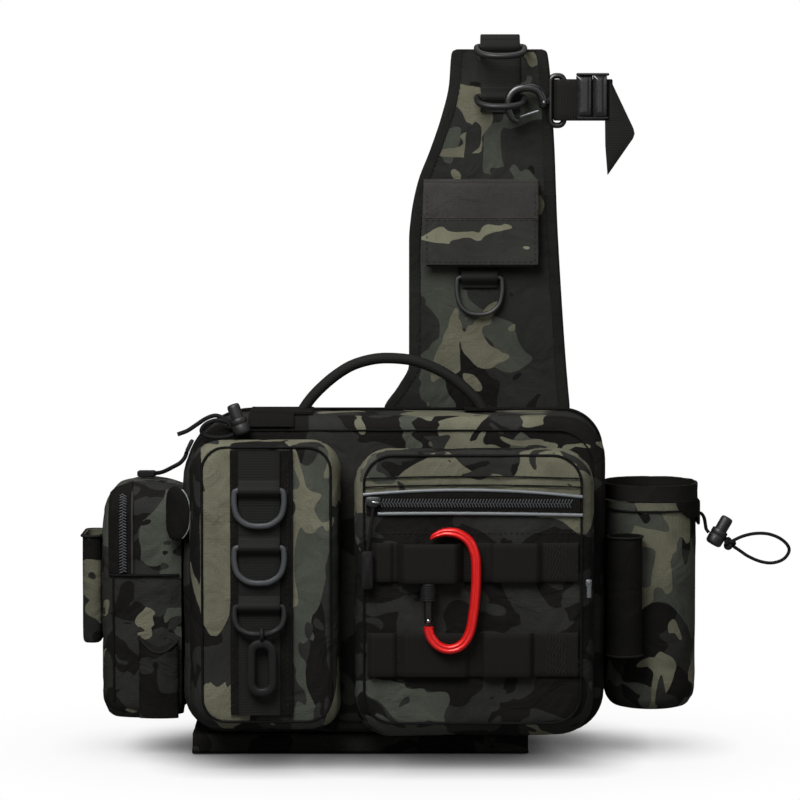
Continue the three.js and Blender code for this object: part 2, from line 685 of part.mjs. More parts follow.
// Cord and lock that lie on the front left pocket, against the body's shoulder
function makeTopCord() {
  makeLock("top_lock", "top_button", [-112.3, -61.6, 246.2], [-0.34, 0.94]);
  const route = [
    [-120.1, -60.2, 249.3],
    [-125, -58.8, 252],
    [-131, -57.5, 253.6],
    [-138, -56.8, 251.2],
    [-145, -57, 246.6],
    [-151.5, -57.6, 242.4],
    [-158.6, -58.5, 239.8],
  ];
  add("top_cord", rod(route, CORD / 2, 12), BLACK_WEBBING);
  const loop = [
    [-120, -63.4, 247.4],
    [-124, -63.2, 250],
    [-131, -62.8, 250.4],
    [-137.6, -62.2, 247.6],
    [-140.8, -61.8, 243.2],
    [-138.6, -61.6, 239.4],
    [-132, -61.8, 237.8],
    [-124, -62.2, 238],
    [-117.4, -62.6, 239.8],
  ];
  add("top_loop", rod(loop, CORD / 2, 14), BLACK_WEBBING);
}

// Sling strap: padded front half and the webbing that runs back down to the bag's foot
function makeStrap() {
  const table = [
    { along: 190, left: 30, right: 108, thick: 6 },
    { along: 215, left: 5, right: 128, thick: 9 },
    { along: 247, left: -8, right: 135.4, thick: 11 },
    { along: 265, left: 3, right: 134, thick: 12 },
    { along: 282, left: 11.4, right: 132.5, thick: 12 },
    { along: 330, left: 11.4, right: 129, thick: 12 },
    { along: 378, left: 11.4, right: 126, thick: 12 },
    { along: 397, left: 13, right: 125, thick: 12 },
    { along: 422, left: 18, right: 124, thick: 12 },
    { along: 447, left: 27.5, right: 123, thick: 12 },
    { along: 472, left: 36, right: 121.5, thick: 12 },
    { along: 497, left: 42, right: 120, thick: 11 },
    { along: STRAP_TOP, left: 44, right: 117, thick: 10 },
  ];
  const rows = table.map(({ along, left, right, thick }) => ({
    along,
    left,
    right,
    low: STRAP_FRONT,
    high: STRAP_FRONT + thick,
    radius: thick / 2.2,
  }));
  add("strap_pad", pad("z", rows, { corner: 2, side: 1 }), CAMO);

  const plane = STRAP_FRONT - GAP;
  const tunnels = Object.values(STRAP_BARS).map((bar) => barTunnel(bar, RING.wire));
  add("strap_webbing", uprightWebbing(STRIP, plane, tunnels), BLACK_WEBBING);

  const back = [
    [plane - 1.8, STRIP.high + GAP],
    [65.4, 533.4],
    [69, 534.6],
    [75, 534.2],
    [80, 529],
    [82.5, 515],
    [88, 480],
    [96, 430],
    [102, 360],
    [104, 280],
    [101, 200],
    [92, 130],
    [78, 80],
    [68.2, 58],
    [68.2, 36],
  ];
  add("sling_webbing", sideProfile(bandShape(back, WEBBING), STRIP.left, STRIP.right), BLACK_WEBBING);
}

// Rings, pocket and flap on the strap
function makeStrapFittings() {
  const barPlane = STRAP_FRONT - GAP - RING.wire / 2 - BAR_SPACE;
  const at = (bar) => [STRAP_RING_CENTRE, barPlane, bar];
  hangRing("strap_ring_top", RING, at(STRAP_BARS.top), STRAP_RING_TILT, BLACK_PLASTIC);
  hangRing("strap_ring_hook", RING, at(STRAP_BARS.hook), STRAP_RING_TILT, BLACK_PLASTIC);

  const plan = {
    left: STRAP_POCKET.left,
    right: STRAP_POCKET.right,
    low: STRAP_POCKET.front,
    high: STRAP_FRONT - GAP,
    radius: STRAP_POCKET.radius,
  };
  const rows = [
    insetRow(plan, STRAP_POCKET.low, 1.5),
    insetRow(plan, STRAP_POCKET.low + 3, 0),
    insetRow(plan, STRAP_POCKET.high, 0),
  ];
  add("strap_pocket", shell("z", rows, STRAP_POCKET.wall, { corner: 2, side: 0 }), CAMO);

  const sewn = STRAP_FRONT - GAP;
  const front = STRAP_POCKET.front - 0.4;
  const over = STRAP_POCKET.high + 0.6;
  const fold = [
    [front, FLAP.low],
    [front, over - 0.6],
    [front + 0.5, over],
    [sewn - 2, over + 0.4],
    [sewn, over + 2.4],
    [sewn, FLAP.sewn],
  ];
  add("strap_flap", sideProfile(bandShape(fold, FLAP.thick), FLAP.left, FLAP.right), CAMO);

  const tunnel = [barTunnel(POUCH_RING.bar, POUCH_RING.wire)];
  add("strap_tab", uprightWebbing(TAB, sewn, tunnel), BLACK_WEBBING);
  const ringPlane = sewn - POUCH_RING.wire / 2 - BAR_SPACE;
  const place = [POUCH_RING.centre, ringPlane, POUCH_RING.bar];
  hangRing("strap_pocket_ring", POUCH_RING, place, POUCH_RING.tilt, BLACK_PLASTIC);
}

// Snap hook on the strap's second ring, and the webbing loop that it carries
function makeRodStrap() {
  const centreLine = [
    [116.5, 480.8],
    [112.2, 480.6],
    [109.5, 484.7],
    [104, 488.3],
    [97, 489.6],
    [90.2, 486.6],
    [87, 481],
    [88.4, 474.6],
    [92.6, 471],
  ];
  const hook = rod(
    centreLine.map(([x, z]) => [x, HOOK.y, z]),
    HOOK.wire,
    20,
  );
  add("snap_hook", hook, BLACK_PLASTIC);
  const gate = [
    [HOOK.pin[0], HOOK.y, HOOK.pin[1]],
    [HOOK.tip[0], HOOK.y, HOOK.tip[1]],
  ];
  add("snap_hook_gate", rod(gate, HOOK.gateWire, 2), STEEL);

  const wire = EYE.wire / 2;
  const middle = insetRow(EYE, 0, wire);
  const loop = roundedRing(middle, 3, 1).map((p) => new THREE.Vector3(p.x, HOOK.y, p.y));
  const eye = new THREE.CatmullRomCurve3(loop, true, "centripetal");
  add("snap_hook_eye", new THREE.TubeGeometry(eye, 32, wire, 6, true), BLACK_PLASTIC);

  const plan = { ...ROD_LOOP, low: ROD_LOOP.front, high: ROD_LOOP.back };
  const strap = extrude(roundedTube(plan, ROD_LOOP_THICK), ROD_LOOP.high - ROD_LOOP.low);
  add("rod_strap", strap.translate(0, 0, ROD_LOOP.low), BLACK_WEBBING);

  const bevel = BUCKLE_BEVEL;
  const outline = insetRow(BUCKLE, 0, bevel);
  const buckle = new THREE.ExtrudeGeometry(roundedShape(outline), {
    depth: BUCKLE_THICK - 2 * bevel,
    bevelThickness: bevel,
    bevelSize: bevel,
    bevelSegments: 1,
  });
  add("rod_buckle", turned(buckle, X, Z, FRONT, [0, ROD_LOOP.front - GAP - bevel, 0]), BLACK_PLASTIC);

  const tail = polygon([
    [BUCKLE.right + GAP, BUCKLE.low - GAP],
    [159.9, BUCKLE.low - GAP],
    [160.2, 451],
    [162, 428.5],
    [181.4, 456],
    [182.6, 459.6],
    [181.8, 463.4],
    [165.2, 498],
    [BUCKLE.right + GAP, 500],
  ]);
  add("rod_tail", plate(tail, ROD_LOOP.front - GAP, WEBBING), BLACK_WEBBING);
}

// Carry handle on the body's top with its sewn patches
function makeHandle() {
  const top = BODY.high + GAP;
  const front = BODY_FRONT - GAP;
  const fold = [
    [PATCH.back, top],
    [BODY_EDGE.shoulderAt, top],
    [BODY_EDGE.turnAt - GAP, BODY.high - BODY_EDGE.turn + GAP],
    [front, BODY.high - BODY_EDGE.face],
  ].reverse();
  add("handle_patch_left", sideProfile(bandShape(fold, WEBBING), PATCH.left, PATCH.right), BLACK_WEBBING);
  const right = polygon([
    [PATCH_RIGHT.left, PATCH_RIGHT.front],
    [PATCH_RIGHT.right, PATCH_RIGHT.front],
    [PATCH_RIGHT.right, PATCH_RIGHT.back],
    [PATCH_RIGHT.left, PATCH_RIGHT.back],
  ]);
  add("handle_patch_right", extrude(right, WEBBING).translate(0, 0, top), BLACK_WEBBING);

  const foot = top + WEBBING + GAP;
  const arc = [
    [-68, foot],
    [-68, 258.6],
    [-62.8, 263.6],
    [-54.7, 269.4],
    [-44.6, 278.3],
    [-32.6, 286],
    [-19.4, 290.4],
    [-6.3, 292],
    [11.3, 290.4],
    [24.4, 286],
    [36.5, 280],
    [48.6, 271.2],
    [59.6, 263],
    [65, 258.6],
    [65, foot],
  ];
  const handle = rod(
    arc.map(([x, z]) => [x, 0, z]),
    HANDLE_RADIUS,
    22,
  );
  add("carry_handle", handle, BLACK_WEBBING);
}

makeBody();
makeMainZip();
makeFrontLeft();
makeFrontRight();
makeCarabiner();
makeLeftSide();
makeRightSide();
makeDrawstring();
makeTopCord();
makeStrap();
makeStrapFittings();
makeRodStrap();
makeHandle();

export default bag;
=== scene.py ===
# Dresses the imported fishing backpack: cloth, webbing, cords, fittings, floor, light and camera.
import json
import math
from collections import namedtuple

import bpy
from mathutils import Matrix, Vector, noise


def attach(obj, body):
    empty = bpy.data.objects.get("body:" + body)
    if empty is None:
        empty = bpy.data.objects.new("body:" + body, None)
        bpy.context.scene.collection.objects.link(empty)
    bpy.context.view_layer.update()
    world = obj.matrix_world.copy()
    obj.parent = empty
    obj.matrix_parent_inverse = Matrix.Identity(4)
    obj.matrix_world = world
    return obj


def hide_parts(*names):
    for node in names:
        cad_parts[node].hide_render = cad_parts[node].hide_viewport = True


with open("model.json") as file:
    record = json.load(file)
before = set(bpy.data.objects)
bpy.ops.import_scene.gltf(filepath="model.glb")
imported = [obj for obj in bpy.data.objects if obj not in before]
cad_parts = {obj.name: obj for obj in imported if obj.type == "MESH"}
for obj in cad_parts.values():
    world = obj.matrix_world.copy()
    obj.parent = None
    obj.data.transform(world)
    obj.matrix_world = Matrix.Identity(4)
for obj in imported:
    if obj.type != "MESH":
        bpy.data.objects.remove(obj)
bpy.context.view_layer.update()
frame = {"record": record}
RECORD = frame["record"]
BODY_OF = {node: body for body, nodes in RECORD["behaviour"]["bodies"].items() for node in nodes}

MM = 0.001


def xyz(x, y, z):
    return Vector((x, y, z))


X = xyz(1, 0, 0)
Y = xyz(0, 1, 0)
Z = xyz(0, 0, 1)

# Shared measures in millimetres, as in the part; FACE is the depth of the front pockets' faces
GAP = 0.3
FACE = -103.0
SEWN_FACE = FACE - GAP
RAISED_FACE = -104.0
THREAD_LIFT = 0.1
WEBBING = 1.6
WEB_WIDTH = 30
RING_WIRE = 4.3
BAR_SPACE = 0.5
PANEL = 1.2
STITCHED_FACE = SEWN_FACE - PANEL - THREAD_LIFT
PLANE_LEFT = SEWN_FACE - PANEL - GAP
STRAP_FRONT = 66.3
STRAP_PLANE = STRAP_FRONT - GAP
CORD = 2.5
THICK_CORD = 3.2


# Colours as seen on the bag, in screen values
def screen(red, green, blue):
    def linear(value):
        share = value / 255
        return share / 12.92 if share <= 0.04045 else ((share + 0.055) / 1.055) ** 2.4

    return (linear(red), linear(green), linear(blue), 1.0)


KHAKI = screen(91, 90, 76)
GREEN = screen(61, 63, 57)
GREY = screen(37, 37, 35)
BLACK = screen(20, 19, 18)
CLOTH_BLACK = screen(17, 16, 15)
BAND_GREY = screen(48, 47, 45)
WEBBING_BLACK = screen(23, 23, 22)
PIPING_AND_HIGHLIGHT_GREY = screen(98, 102, 104)
RING_GREY = screen(37, 39, 41)
CLIP_GREY = screen(14, 14, 14)
PLASTIC_BLACK = screen(16, 16, 16)
RED = screen(212, 22, 20)
STEEL = screen(150, 152, 154)


# Materials
def new_material(name, colour, roughness, metallic=0.0):
    material = bpy.data.materials.new(name)
    material.use_nodes = True
    shader = material.node_tree.nodes["Principled BSDF"]
    shader.inputs["Base Color"].default_value = colour
    shader.inputs["Roughness"].default_value = roughness
    shader.inputs["Metallic"].default_value = metallic
    return material, material.node_tree, shader


def add_node(tree, kind, values=None, **settings):
    made = tree.nodes.new(kind)
    for key, value in settings.items():
        setattr(made, key, value)
    for key, value in (values or {}).items():
        if isinstance(value, bpy.types.NodeSocket):
            tree.links.new(value, made.inputs[key])
        else:
            made.inputs[key].default_value = value
    return made


def mixed(tree, share, first, second):
    """One colour over another; the colours of a mix node are its inputs 6 and 7 and its output 2."""
    return add_node(tree, "ShaderNodeMix", {0: share, 6: first, 7: second}, data_type="RGBA").outputs[2]


def object_coords(tree, offset=(0, 0, 0), stretch=(1, 1, 1)):
    place = add_node(tree, "ShaderNodeTexCoord").outputs["Object"]
    mapping = add_node(tree, "ShaderNodeMapping", {"Vector": place, "Location": offset, "Scale": stretch})
    return mapping.outputs["Vector"]


def noise_value(tree, coords, scale, detail=2.0, roughness=0.45, distortion=0.0):
    values = {"Vector": coords, "Scale": scale, "Detail": detail, "Roughness": roughness}
    return add_node(tree, "ShaderNodeTexNoise", {**values, "Distortion": distortion}).outputs["Fac"]


def above(tree, value, threshold):
    return add_node(tree, "ShaderNodeMath", {0: value, 1: threshold}, operation="GREATER_THAN").outputs[0]


def ranged(tree, value, start, end, low, high):
    """A value moved from one range to another."""
    values = {"Value": value, "From Min": start, "From Max": end, "To Min": low, "To Max": high}
    return add_node(tree, "ShaderNodeMapRange", values).outputs[0]


def tinted(tree, shader, colour, tone):
    """Colours the shader by a colour times a tone."""
    made = add_node(tree, "ShaderNodeVectorMath", {0: colour, "Scale": tone}, operation="SCALE")
    tree.links.new(made.outputs[0], shader.inputs["Base Color"])


def bands(tree, coords, direction, period):
    values = {"Vector": coords, "Scale": 2 * math.pi / (20 * period * MM)}
    wave = add_node(tree, "ShaderNodeTexWave", values, wave_type="BANDS", bands_direction=direction)
    return wave.outputs["Fac"]


def added(tree, first, second, kind="ADD"):
    return add_node(tree, "ShaderNodeMath", {0: first, 1: second}, operation=kind).outputs[0]


def bump(tree, shader, height, strength, distance=0.4, under=None):
    values = {"Height": height, "Strength": strength, "Distance": distance * MM}
    made = add_node(tree, "ShaderNodeBump", values)
    if under is not None:
        tree.links.new(under, made.inputs["Normal"])
    tree.links.new(made.outputs["Normal"], shader.inputs["Normal"])


def creased(tree, coords, depth):
    """Normals of soft creases in cloth."""
    folds = noise_value(tree, coords, 26.0, detail=3.0, roughness=0.5, distortion=1.6)
    values = {"Height": folds, "Strength": 0.6, "Distance": depth * MM}
    return add_node(tree, "ShaderNodeBump", values).outputs["Normal"]


def weave(tree, coords, period):
    first = bands(tree, coords, "X", period)
    second = bands(tree, coords, "Z", period)
    third = bands(tree, coords, "Y", period)
    return added(tree, added(tree, first, second), third)


CLOTH_SHINE = 0.06


def camo(
    name, seed, khaki, green, stretch=(1, 1, 1), scale=17.0, warp=0.9, fades=(), ground=0.5, painted_shading=1.0,
):
    """Camouflage print of blots in four tones; fades thin the khaki and the green along an axis. The
    shading factor is painted shade below one and painted light above one.
    """
    material, tree, shader = new_material(name, GREY, 0.85)
    offset = (seed * 0.731, seed * 0.417, seed * 0.593)
    coords = object_coords(tree, offset, stretch)
    plain = object_coords(tree)
    shift = object_coords(tree, (offset[0] + 3.1, offset[1] - 1.7, offset[2] + 2.3), stretch)
    apart = object_coords(tree, (offset[0] - 2.7, offset[1] + 4.1, offset[2] - 5.9), stretch)

    blots = noise_value(tree, coords, scale, detail=2.2, roughness=0.42, distortion=warp)
    leaves = noise_value(tree, shift, scale * 0.85, detail=2.2, roughness=0.45, distortion=warp)
    for axis, stops in fades:
        less_khaki, less_green = faded(tree, plain, axis, stops)
        blots = added(tree, blots, less_khaki, "SUBTRACT")
        leaves = added(tree, leaves, less_green, "SUBTRACT")
    base = noise_value(tree, apart, scale * 1.15, detail=1.8, roughness=0.45, distortion=0.8)
    specks = noise_value(tree, apart, scale * 1.9, detail=1.0, roughness=0.4, distortion=0.5)

    colour = mixed(tree, above(tree, base, ground), BLACK, GREY)
    colour = mixed(tree, above(tree, leaves, green), colour, GREEN)
    colour = mixed(tree, above(tree, blots, khaki), colour, KHAKI)
    colour = mixed(tree, above(tree, specks, 0.66), colour, GREY)

    grain = noise_value(tree, plain, 1400.0, detail=2.0, roughness=0.6)
    patches = noise_value(tree, plain, 24.0, detail=3.0, roughness=0.55, distortion=0.8)
    # Painted light and shade: the tone is scaled by each material's shading factor.
    tone = ranged(tree, grain, 0.3, 0.7, 0.82 * painted_shading, 1.12 * painted_shading)
    tone = added(tree, tone, ranged(tree, patches, 0.35, 0.65, 0.86, 1.1), "MULTIPLY")
    tinted(tree, shader, colour, tone)
    shader.inputs["Specular IOR Level"].default_value = CLOTH_SHINE
    bump(tree, shader, added(tree, weave(tree, plain, 1.1), grain), 0.35, 0.18, creased(tree, plain, 5.5))
    return material


FADE_FROM = -250.0
FADE_SPAN = 800.0
FADE_FULL = 0.4


def faded(tree, coords, axis, stops):
    """Two values that follow an axis, from rows of place, first value and second value in rising order."""
    place = add_node(tree, "ShaderNodeSeparateXYZ", {0: coords}).outputs[axis]
    level = ranged(tree, place, FADE_FROM * MM, (FADE_FROM + FADE_SPAN) * MM, 0.0, 1.0)
    ramp = add_node(tree, "ShaderNodeValToRGB", {"Fac": level})
    elements = ramp.color_ramp.elements
    elements.remove(elements[1])
    for k, (at, first, second) in enumerate(stops):
        share = (at - FADE_FROM) / FADE_SPAN
        element = elements[0] if k == 0 else elements.new(share)
        element.position = share
        element.color = (first / FADE_FULL, second / FADE_FULL, 0, 1)
    parts = add_node(tree, "ShaderNodeSeparateColor", {0: ramp.outputs["Color"]}).outputs
    return added(tree, parts[0], FADE_FULL, "MULTIPLY"), added(tree, parts[1], FADE_FULL, "MULTIPLY")


def cloth(name, colour, roughness=0.85, period=1.2, strength=0.4):
    material, tree, shader = new_material(name, colour, roughness)
    coords = object_coords(tree)
    grain = noise_value(tree, coords, 900.0, detail=2.0, roughness=0.6)
    patches = noise_value(tree, coords, 28.0, detail=2.0, roughness=0.5)
    tinted(tree, shader, colour[:3], ranged(tree, added(tree, grain, patches), 0.7, 1.3, 0.8, 1.25))
    shader.inputs["Specular IOR Level"].default_value = CLOTH_SHINE
    threads = added(tree, weave(tree, coords, period), grain)
    bump(tree, shader, threads, strength, 0.2, creased(tree, coords, 5.0))
    return material


def webbing(name, direction, colour=WEBBING_BLACK, period=1.9):
    """Ribbed webbing: ribs across the given axis, and a finer grain."""
    material, tree, shader = new_material(name, colour, 0.72)
    coords = object_coords(tree)
    ribs = bands(tree, coords, direction, period)
    grain = noise_value(tree, coords, 1100.0, detail=2.0, roughness=0.6)
    tinted(tree, shader, colour[:3], ranged(tree, added(tree, ribs, grain), 0.3, 1.5, 0.86, 1.12))
    shader.inputs["Specular IOR Level"].default_value = 0.1
    bump(tree, shader, added(tree, ribs, grain), 0.4, 0.2)
    return material


def moulded(name, colour, roughness, metallic=0.0, coat=0.0, shine=0.5, rough_skin=0.1):
    """Moulded plastic or metal with faint wear in its gloss."""
    material, tree, shader = new_material(name, colour, roughness, metallic)
    coords = object_coords(tree)
    wear = noise_value(tree, coords, 160.0, detail=3.0, roughness=0.6)
    gloss = ranged(tree, wear, 0.3, 0.7, roughness * 0.8, roughness * 1.2)
    tree.links.new(gloss, shader.inputs["Roughness"])
    grain = noise_value(tree, coords, 2400.0, detail=2.0, roughness=0.5)
    shader.inputs["Specular IOR Level"].default_value = shine
    shader.inputs["Coat Weight"].default_value = coat
    shader.inputs["Coat Roughness"].default_value = 0.15
    if rough_skin:
        bump(tree, shader, grain, rough_skin, 0.05)
    return material


# Fades: an axis, then rows of place in millimetres, less khaki and less green
BODY_FADES = (
    ("Z", ((150, 0.3, 0.25), (218, 0.2, 0.15), (230, 0.0, 0.0))),
    ("X", (
        (-62, 0.3, 0.25), (-52, 0.05, 0.1), (-26, 0.05, 0.1), (-18, 0.16, 0.2), (-2, 0.14, 0.2),
        (10, 0.0, 0.0), (110, 0.0, 0.0), (122, 0.2, 0.1),
    )),
)
CAMO_BODY = camo(
    "camo_body", 21.0, khaki=0.46, green=0.54, stretch=(0.9, 1, 1.1), scale=21.0, fades=BODY_FADES,
)
LEFT_FADES = (
    ("Z", ((40, 0.02, 0.06), (70, 0.12, 0.0), (96, 0.12, 0.0), (112, 0.0, 0.12))),
    ("X", (
        (-150, 0.16, 0.2), (-141, 0.16, 0.2), (-137.5, 0.0, 0.2), (-119, 0.0, 0.2), (-116, 0.14, 0.14),
        (-76, 0.14, 0.1), (-72, 0.14, 0.0), (-60, 0.12, 0.0), (-45, 0.1, 0.02),
    )),
)
CAMO_LEFT = camo(
    "camo_left_pocket", 62.2, khaki=0.39, green=0.46, stretch=(1.2, 1, 0.55), scale=21.0,
    fades=LEFT_FADES,
)
RIGHT_FADES = (
    ("Z", (
        (30, 0.26, 0.0), (64, 0.26, 0.0), (67, 0.34, 0.22), (160, 0.34, 0.22), (172, 0.18, 0.06),
        (186, 0.18, 0.06), (190, 0.02, 0.0), (205, 0.0, 0.03),
    )),
    ("X", ((20, 0.0, 0.0), (50, 0.0, 0.16))),
)
CAMO_RIGHT = camo(
    "camo_right_pocket", 43.1, khaki=0.44, green=0.48, stretch=(0.85, 1, 1.2), scale=22.0,
    fades=RIGHT_FADES,
)
SIDE_FADES = (
    ("Z", ((24, 0.0, 0.09), (50, 0.0, 0.14), (110, 0.03, 0.16), (132, 0.2, 0.16), (152, 0.2, 0.0))),
)
CAMO_SIDE = camo(
    "camo_side", 64.3, khaki=0.60, green=0.505, stretch=(0.9, 1, 1.1), scale=34.0, warp=0.4,
    fades=SIDE_FADES, ground=0.46,
)
SHEATH_FADES = (("Z", ((80, 0.2, 0.1), (115, 0.2, 0.1), (125, 0.0, 0.0))),)
# The sheath's print is darkened by a shading factor below one, as painted shade.
CAMO_SHEATH = camo(
    "camo_sheath", 12.3, khaki=0.42, green=0.5, stretch=(1, 1, 0.7), scale=24.0, warp=0.4,
    fades=SHEATH_FADES, painted_shading=0.72,
)
BOTTLE_FADES = (("Z", ((40, 0.02, 0.14), (85, 0.0, 0.06), (110, 0.0, 0.0))),)
CAMO_BOTTLE = camo(
    "camo_bottle", 35.2, khaki=0.57, green=0.46, stretch=(1, 1, 0.75), scale=20.0, fades=BOTTLE_FADES,
)
# The strap's khaki and green are thinned more towards its lower end, partly as painted shade, and thinned
# towards its right side.
STRAP_FADES_AND_SHADE = (
    ("Z", (
        (250, 0.14, 0.14), (272, 0.11, 0.09), (290, 0.085, 0.08), (345, 0.08, 0.1), (430, 0.08, 0.0),
        (455, 0.05, 0.0),
    )),
    ("X", ((40, 0.0, 0.0), (80, 0.02, 0.06), (115, 0.1, 0.14))),
)
# The strap's print is darkened by a shading factor below one, as painted shade.
CAMO_STRAP = camo(
    "camo_strap", 46.4, khaki=0.51, green=0.47, scale=17.0, fades=STRAP_FADES_AND_SHADE, ground=0.36, painted_shading=0.8,
)
# The flap's print, also worn by the strap pocket, is lightened by a shading factor above one, as painted
# light.
CAMO_FLAP = camo(
    "camo_flap", 49.4, khaki=0.64, green=0.8, stretch=(0.75, 1, 1.5), scale=26.0, warp=0.2,
    ground=0.3, painted_shading=1.3,
)
# A darker camo with few khaki and green blots, painted shade for the base sleeve and the pouch.
CAMO_PAINTED_SHADE = camo("camo_painted_shade", 8.1, khaki=0.7, green=0.66, scale=18.0)
BLACK_CLOTH = cloth("black_cloth", CLOTH_BLACK)
BAND_CLOTH = cloth("grey_band", BAND_GREY)
BINDING = cloth("black_binding", screen(25, 25, 24), roughness=0.8, period=1.4, strength=0.5)
MESH_CLOTH = cloth("black_mesh", screen(27, 27, 27), roughness=0.9, period=3.0, strength=1.0)
WEB_UPRIGHT = webbing("webbing_upright", "Z")
WEB_LEVEL = webbing("webbing_level", "X", screen(18, 17, 15), 2.2)
CORD_BLACK = webbing("cord_black", "DIAGONAL", screen(17, 17, 17), 1.6)
THREAD = cloth("thread", screen(34, 33, 31), roughness=0.7, period=0.8, strength=0.3)
PIPING = cloth("piping_black", screen(15, 15, 15), roughness=0.7, period=1.6, strength=0.3)
# Light grey: the front zip's own piping, and a painted highlight line on the side wing.
GREY_PIPING_AND_HIGHLIGHT = moulded("piping_grey_and_highlight", PIPING_AND_HIGHLIGHT_GREY, roughness=0.35)
GREY_PLASTIC = moulded("grey_plastic", RING_GREY, roughness=0.6)
DARK_PLASTIC = moulded("dark_plastic", CLIP_GREY, roughness=0.65, shine=0.2)
BLACK_PLASTIC = moulded("black_plastic", PLASTIC_BLACK, roughness=0.5)
GLOSS_PLASTIC = moulded("gloss_plastic", screen(11, 11, 11), roughness=0.28, coat=0.2)
RUBBER = moulded("rubber", screen(12, 12, 13), roughness=0.75, shine=0.2)
RED_METAL = moulded("red_metal", RED, roughness=0.38, metallic=0.5, coat=0.25, rough_skin=0)
BRIGHT_STEEL = moulded("bright_steel", STEEL, roughness=0.2, metallic=1.0)
DULL_STEEL = moulded("dull_steel", screen(104, 106, 108), roughness=0.45, metallic=0.8)
TEETH = moulded("zip_teeth", screen(78, 80, 82), roughness=0.35, metallic=0.6)


# Forms: points in millimetres and faces, gathered part by part
class Form:
    def __init__(self):
        self.points = []
        self.faces = []
        self.paints = []

    def add(self, form, paint=0):
        points, faces = form
        start = len(self.points)
        self.points.extend(points)
        self.faces.extend([start + corner for corner in face] for face in faces)
        self.paints.extend([paint] * len(faces))
        return self


def build(name, form, *materials, sharp=50):
    if isinstance(form, tuple):
        form = Form().add(form)
    mesh = bpy.data.meshes.new(name)
    mesh.from_pydata([Vector(p) * MM for p in form.points], [], form.faces)
    for material in materials:
        mesh.materials.append(material)
    mesh.polygons.foreach_set("material_index", form.paints)
    mesh.polygons.foreach_set("use_smooth", [True] * len(form.faces))
    mesh.set_sharp_from_angle(angle=math.radians(sharp))
    mesh.update()
    made = bpy.data.objects.new(name, mesh)
    bpy.context.scene.collection.objects.link(made)
    return made


def stand_for(piece, *nodes):
    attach(piece, BODY_OF[nodes[0]])
    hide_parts(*nodes)
    return piece


def dress(node, ending, form, *materials):
    """The piece that shows a node, named after it."""
    return stand_for(build(f"{node}_{ending}", form, *materials), node)


def trim(name, node, form, *materials, slot="black_fabric"):
    """A piece that the solids leave out, on the body of a node."""
    piece = build(name, form, *materials)
    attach(piece, BODY_OF[node])
    return piece


def facing_out(points, faces):
    volume = 0.0
    for face in faces:
        for k in range(1, len(face) - 1):
            volume += points[face[0]].dot(points[face[k]].cross(points[face[k + 1]]))
    return faces if volume >= 0 else [tuple(reversed(face)) for face in faces]


def skin(rings, capped=True, loop=False):
    """A skin through rings of equal count; capped closes its ends, loop joins the last to the first."""
    count = len(rings[0])
    points = [Vector(p) for ring in rings for p in ring]
    faces = []
    spans = len(rings) if loop else len(rings) - 1
    for row in range(spans):
        low = row * count
        high = ((row + 1) % len(rings)) * count
        for k in range(count):
            nxt = (k + 1) % count
            faces.append((low + k, low + nxt, high + nxt, high + k))
    if capped and not loop:
        for row, turn in ((0, 1), (len(rings) - 1, -1)):
            start = row * count
            points.append(sum((points[start + k] for k in range(count)), Vector()) / count)
            hub = len(points) - 1
            for k in range(count):
                face = (hub, start + (k + 1) % count, start + k)
                faces.append(face[::turn])
    return points, facing_out(points, faces)


def sampled(points, steps=8, loop=False):
    """A smooth line through the points."""
    knots = [Vector(p) for p in points]
    count = len(knots)
    line = []
    for i in range(count if loop else count - 1):
        a = knots[i - 1] if i or loop else knots[0] * 2 - knots[1]
        b = knots[i]
        c = knots[(i + 1) % count]
        d = knots[(i + 2) % count] if i + 2 < count or loop else c * 2 - b
        for k in range(steps):
            t = k / steps
            square = (2 * a - 5 * b + 4 * c - d) * t**2
            cube = (3 * b - a - 3 * c + d) * t**3
            line.append(0.5 * (2 * b + (c - a) * t + square + cube))
    if not loop:
        line.append(knots[-1])
    return line


def even(line, spacing):
    """Points along a line, evenly spaced by about the given length."""
    lengths = [0.0]
    for a, b in zip(line, line[1:]):
        lengths.append(lengths[-1] + (b - a).length)
    count = max(2, round(lengths[-1] / spacing) + 1)
    spread = []
    seg = 0
    for k in range(count):
        at = lengths[-1] * k / (count - 1)
        while seg < len(line) - 2 and lengths[seg + 1] < at:
            seg += 1
        span = lengths[seg + 1] - lengths[seg] or 1.0
        spread.append(line[seg].lerp(line[seg + 1], (at - lengths[seg]) / span))
    return spread


def evenly(start, end, parts):
    """Values from start to end in equal steps."""
    return [start + (end - start) * k / parts for k in range(parts + 1)]


def turns(count):
    """Angles that share out a full turn."""
    return [2 * math.pi * k / count for k in range(count)]


GROOVE_HALF = math.radians(17)


def tube(line, radius, sides=10, loop=False, flat=1.0, side=None, square=2.0, groove=0.0):
    """A tube along a line; radius may be a list, flat squeezes it, a square above 2 flattens its faces,
    and groove is the share of the radius by which it is grooved on the face away from side.
    """
    count = len(line)
    radii = radius if isinstance(radius, (list, tuple)) else [radius] * count
    rings = []
    for i in range(count):
        before = line[i - 1] if i or loop else line[i]
        after = line[(i + 1) % count] if i < count - 1 or loop else line[i]
        along = (after - before).normalized()
        if side is None:
            side = along.cross(Z if abs(along.z) < 0.8 else X)
        side = (side - along * side.dot(along)).normalized()
        up = side.cross(along)
        ring = []
        for angle in turns(sides):
            u = math.cos(angle)
            v = math.sin(angle)
            reach = radii[i] / (abs(u) ** square + abs(v) ** square) ** (1 / square)
            reach *= 1 - groove * math.exp(-(((angle - math.pi) / GROOVE_HALF) ** 2))
            ring.append(line[i] + side * (reach * u) + up * (reach * flat * v))
        rings.append(ring)
    return skin(rings, loop=loop)


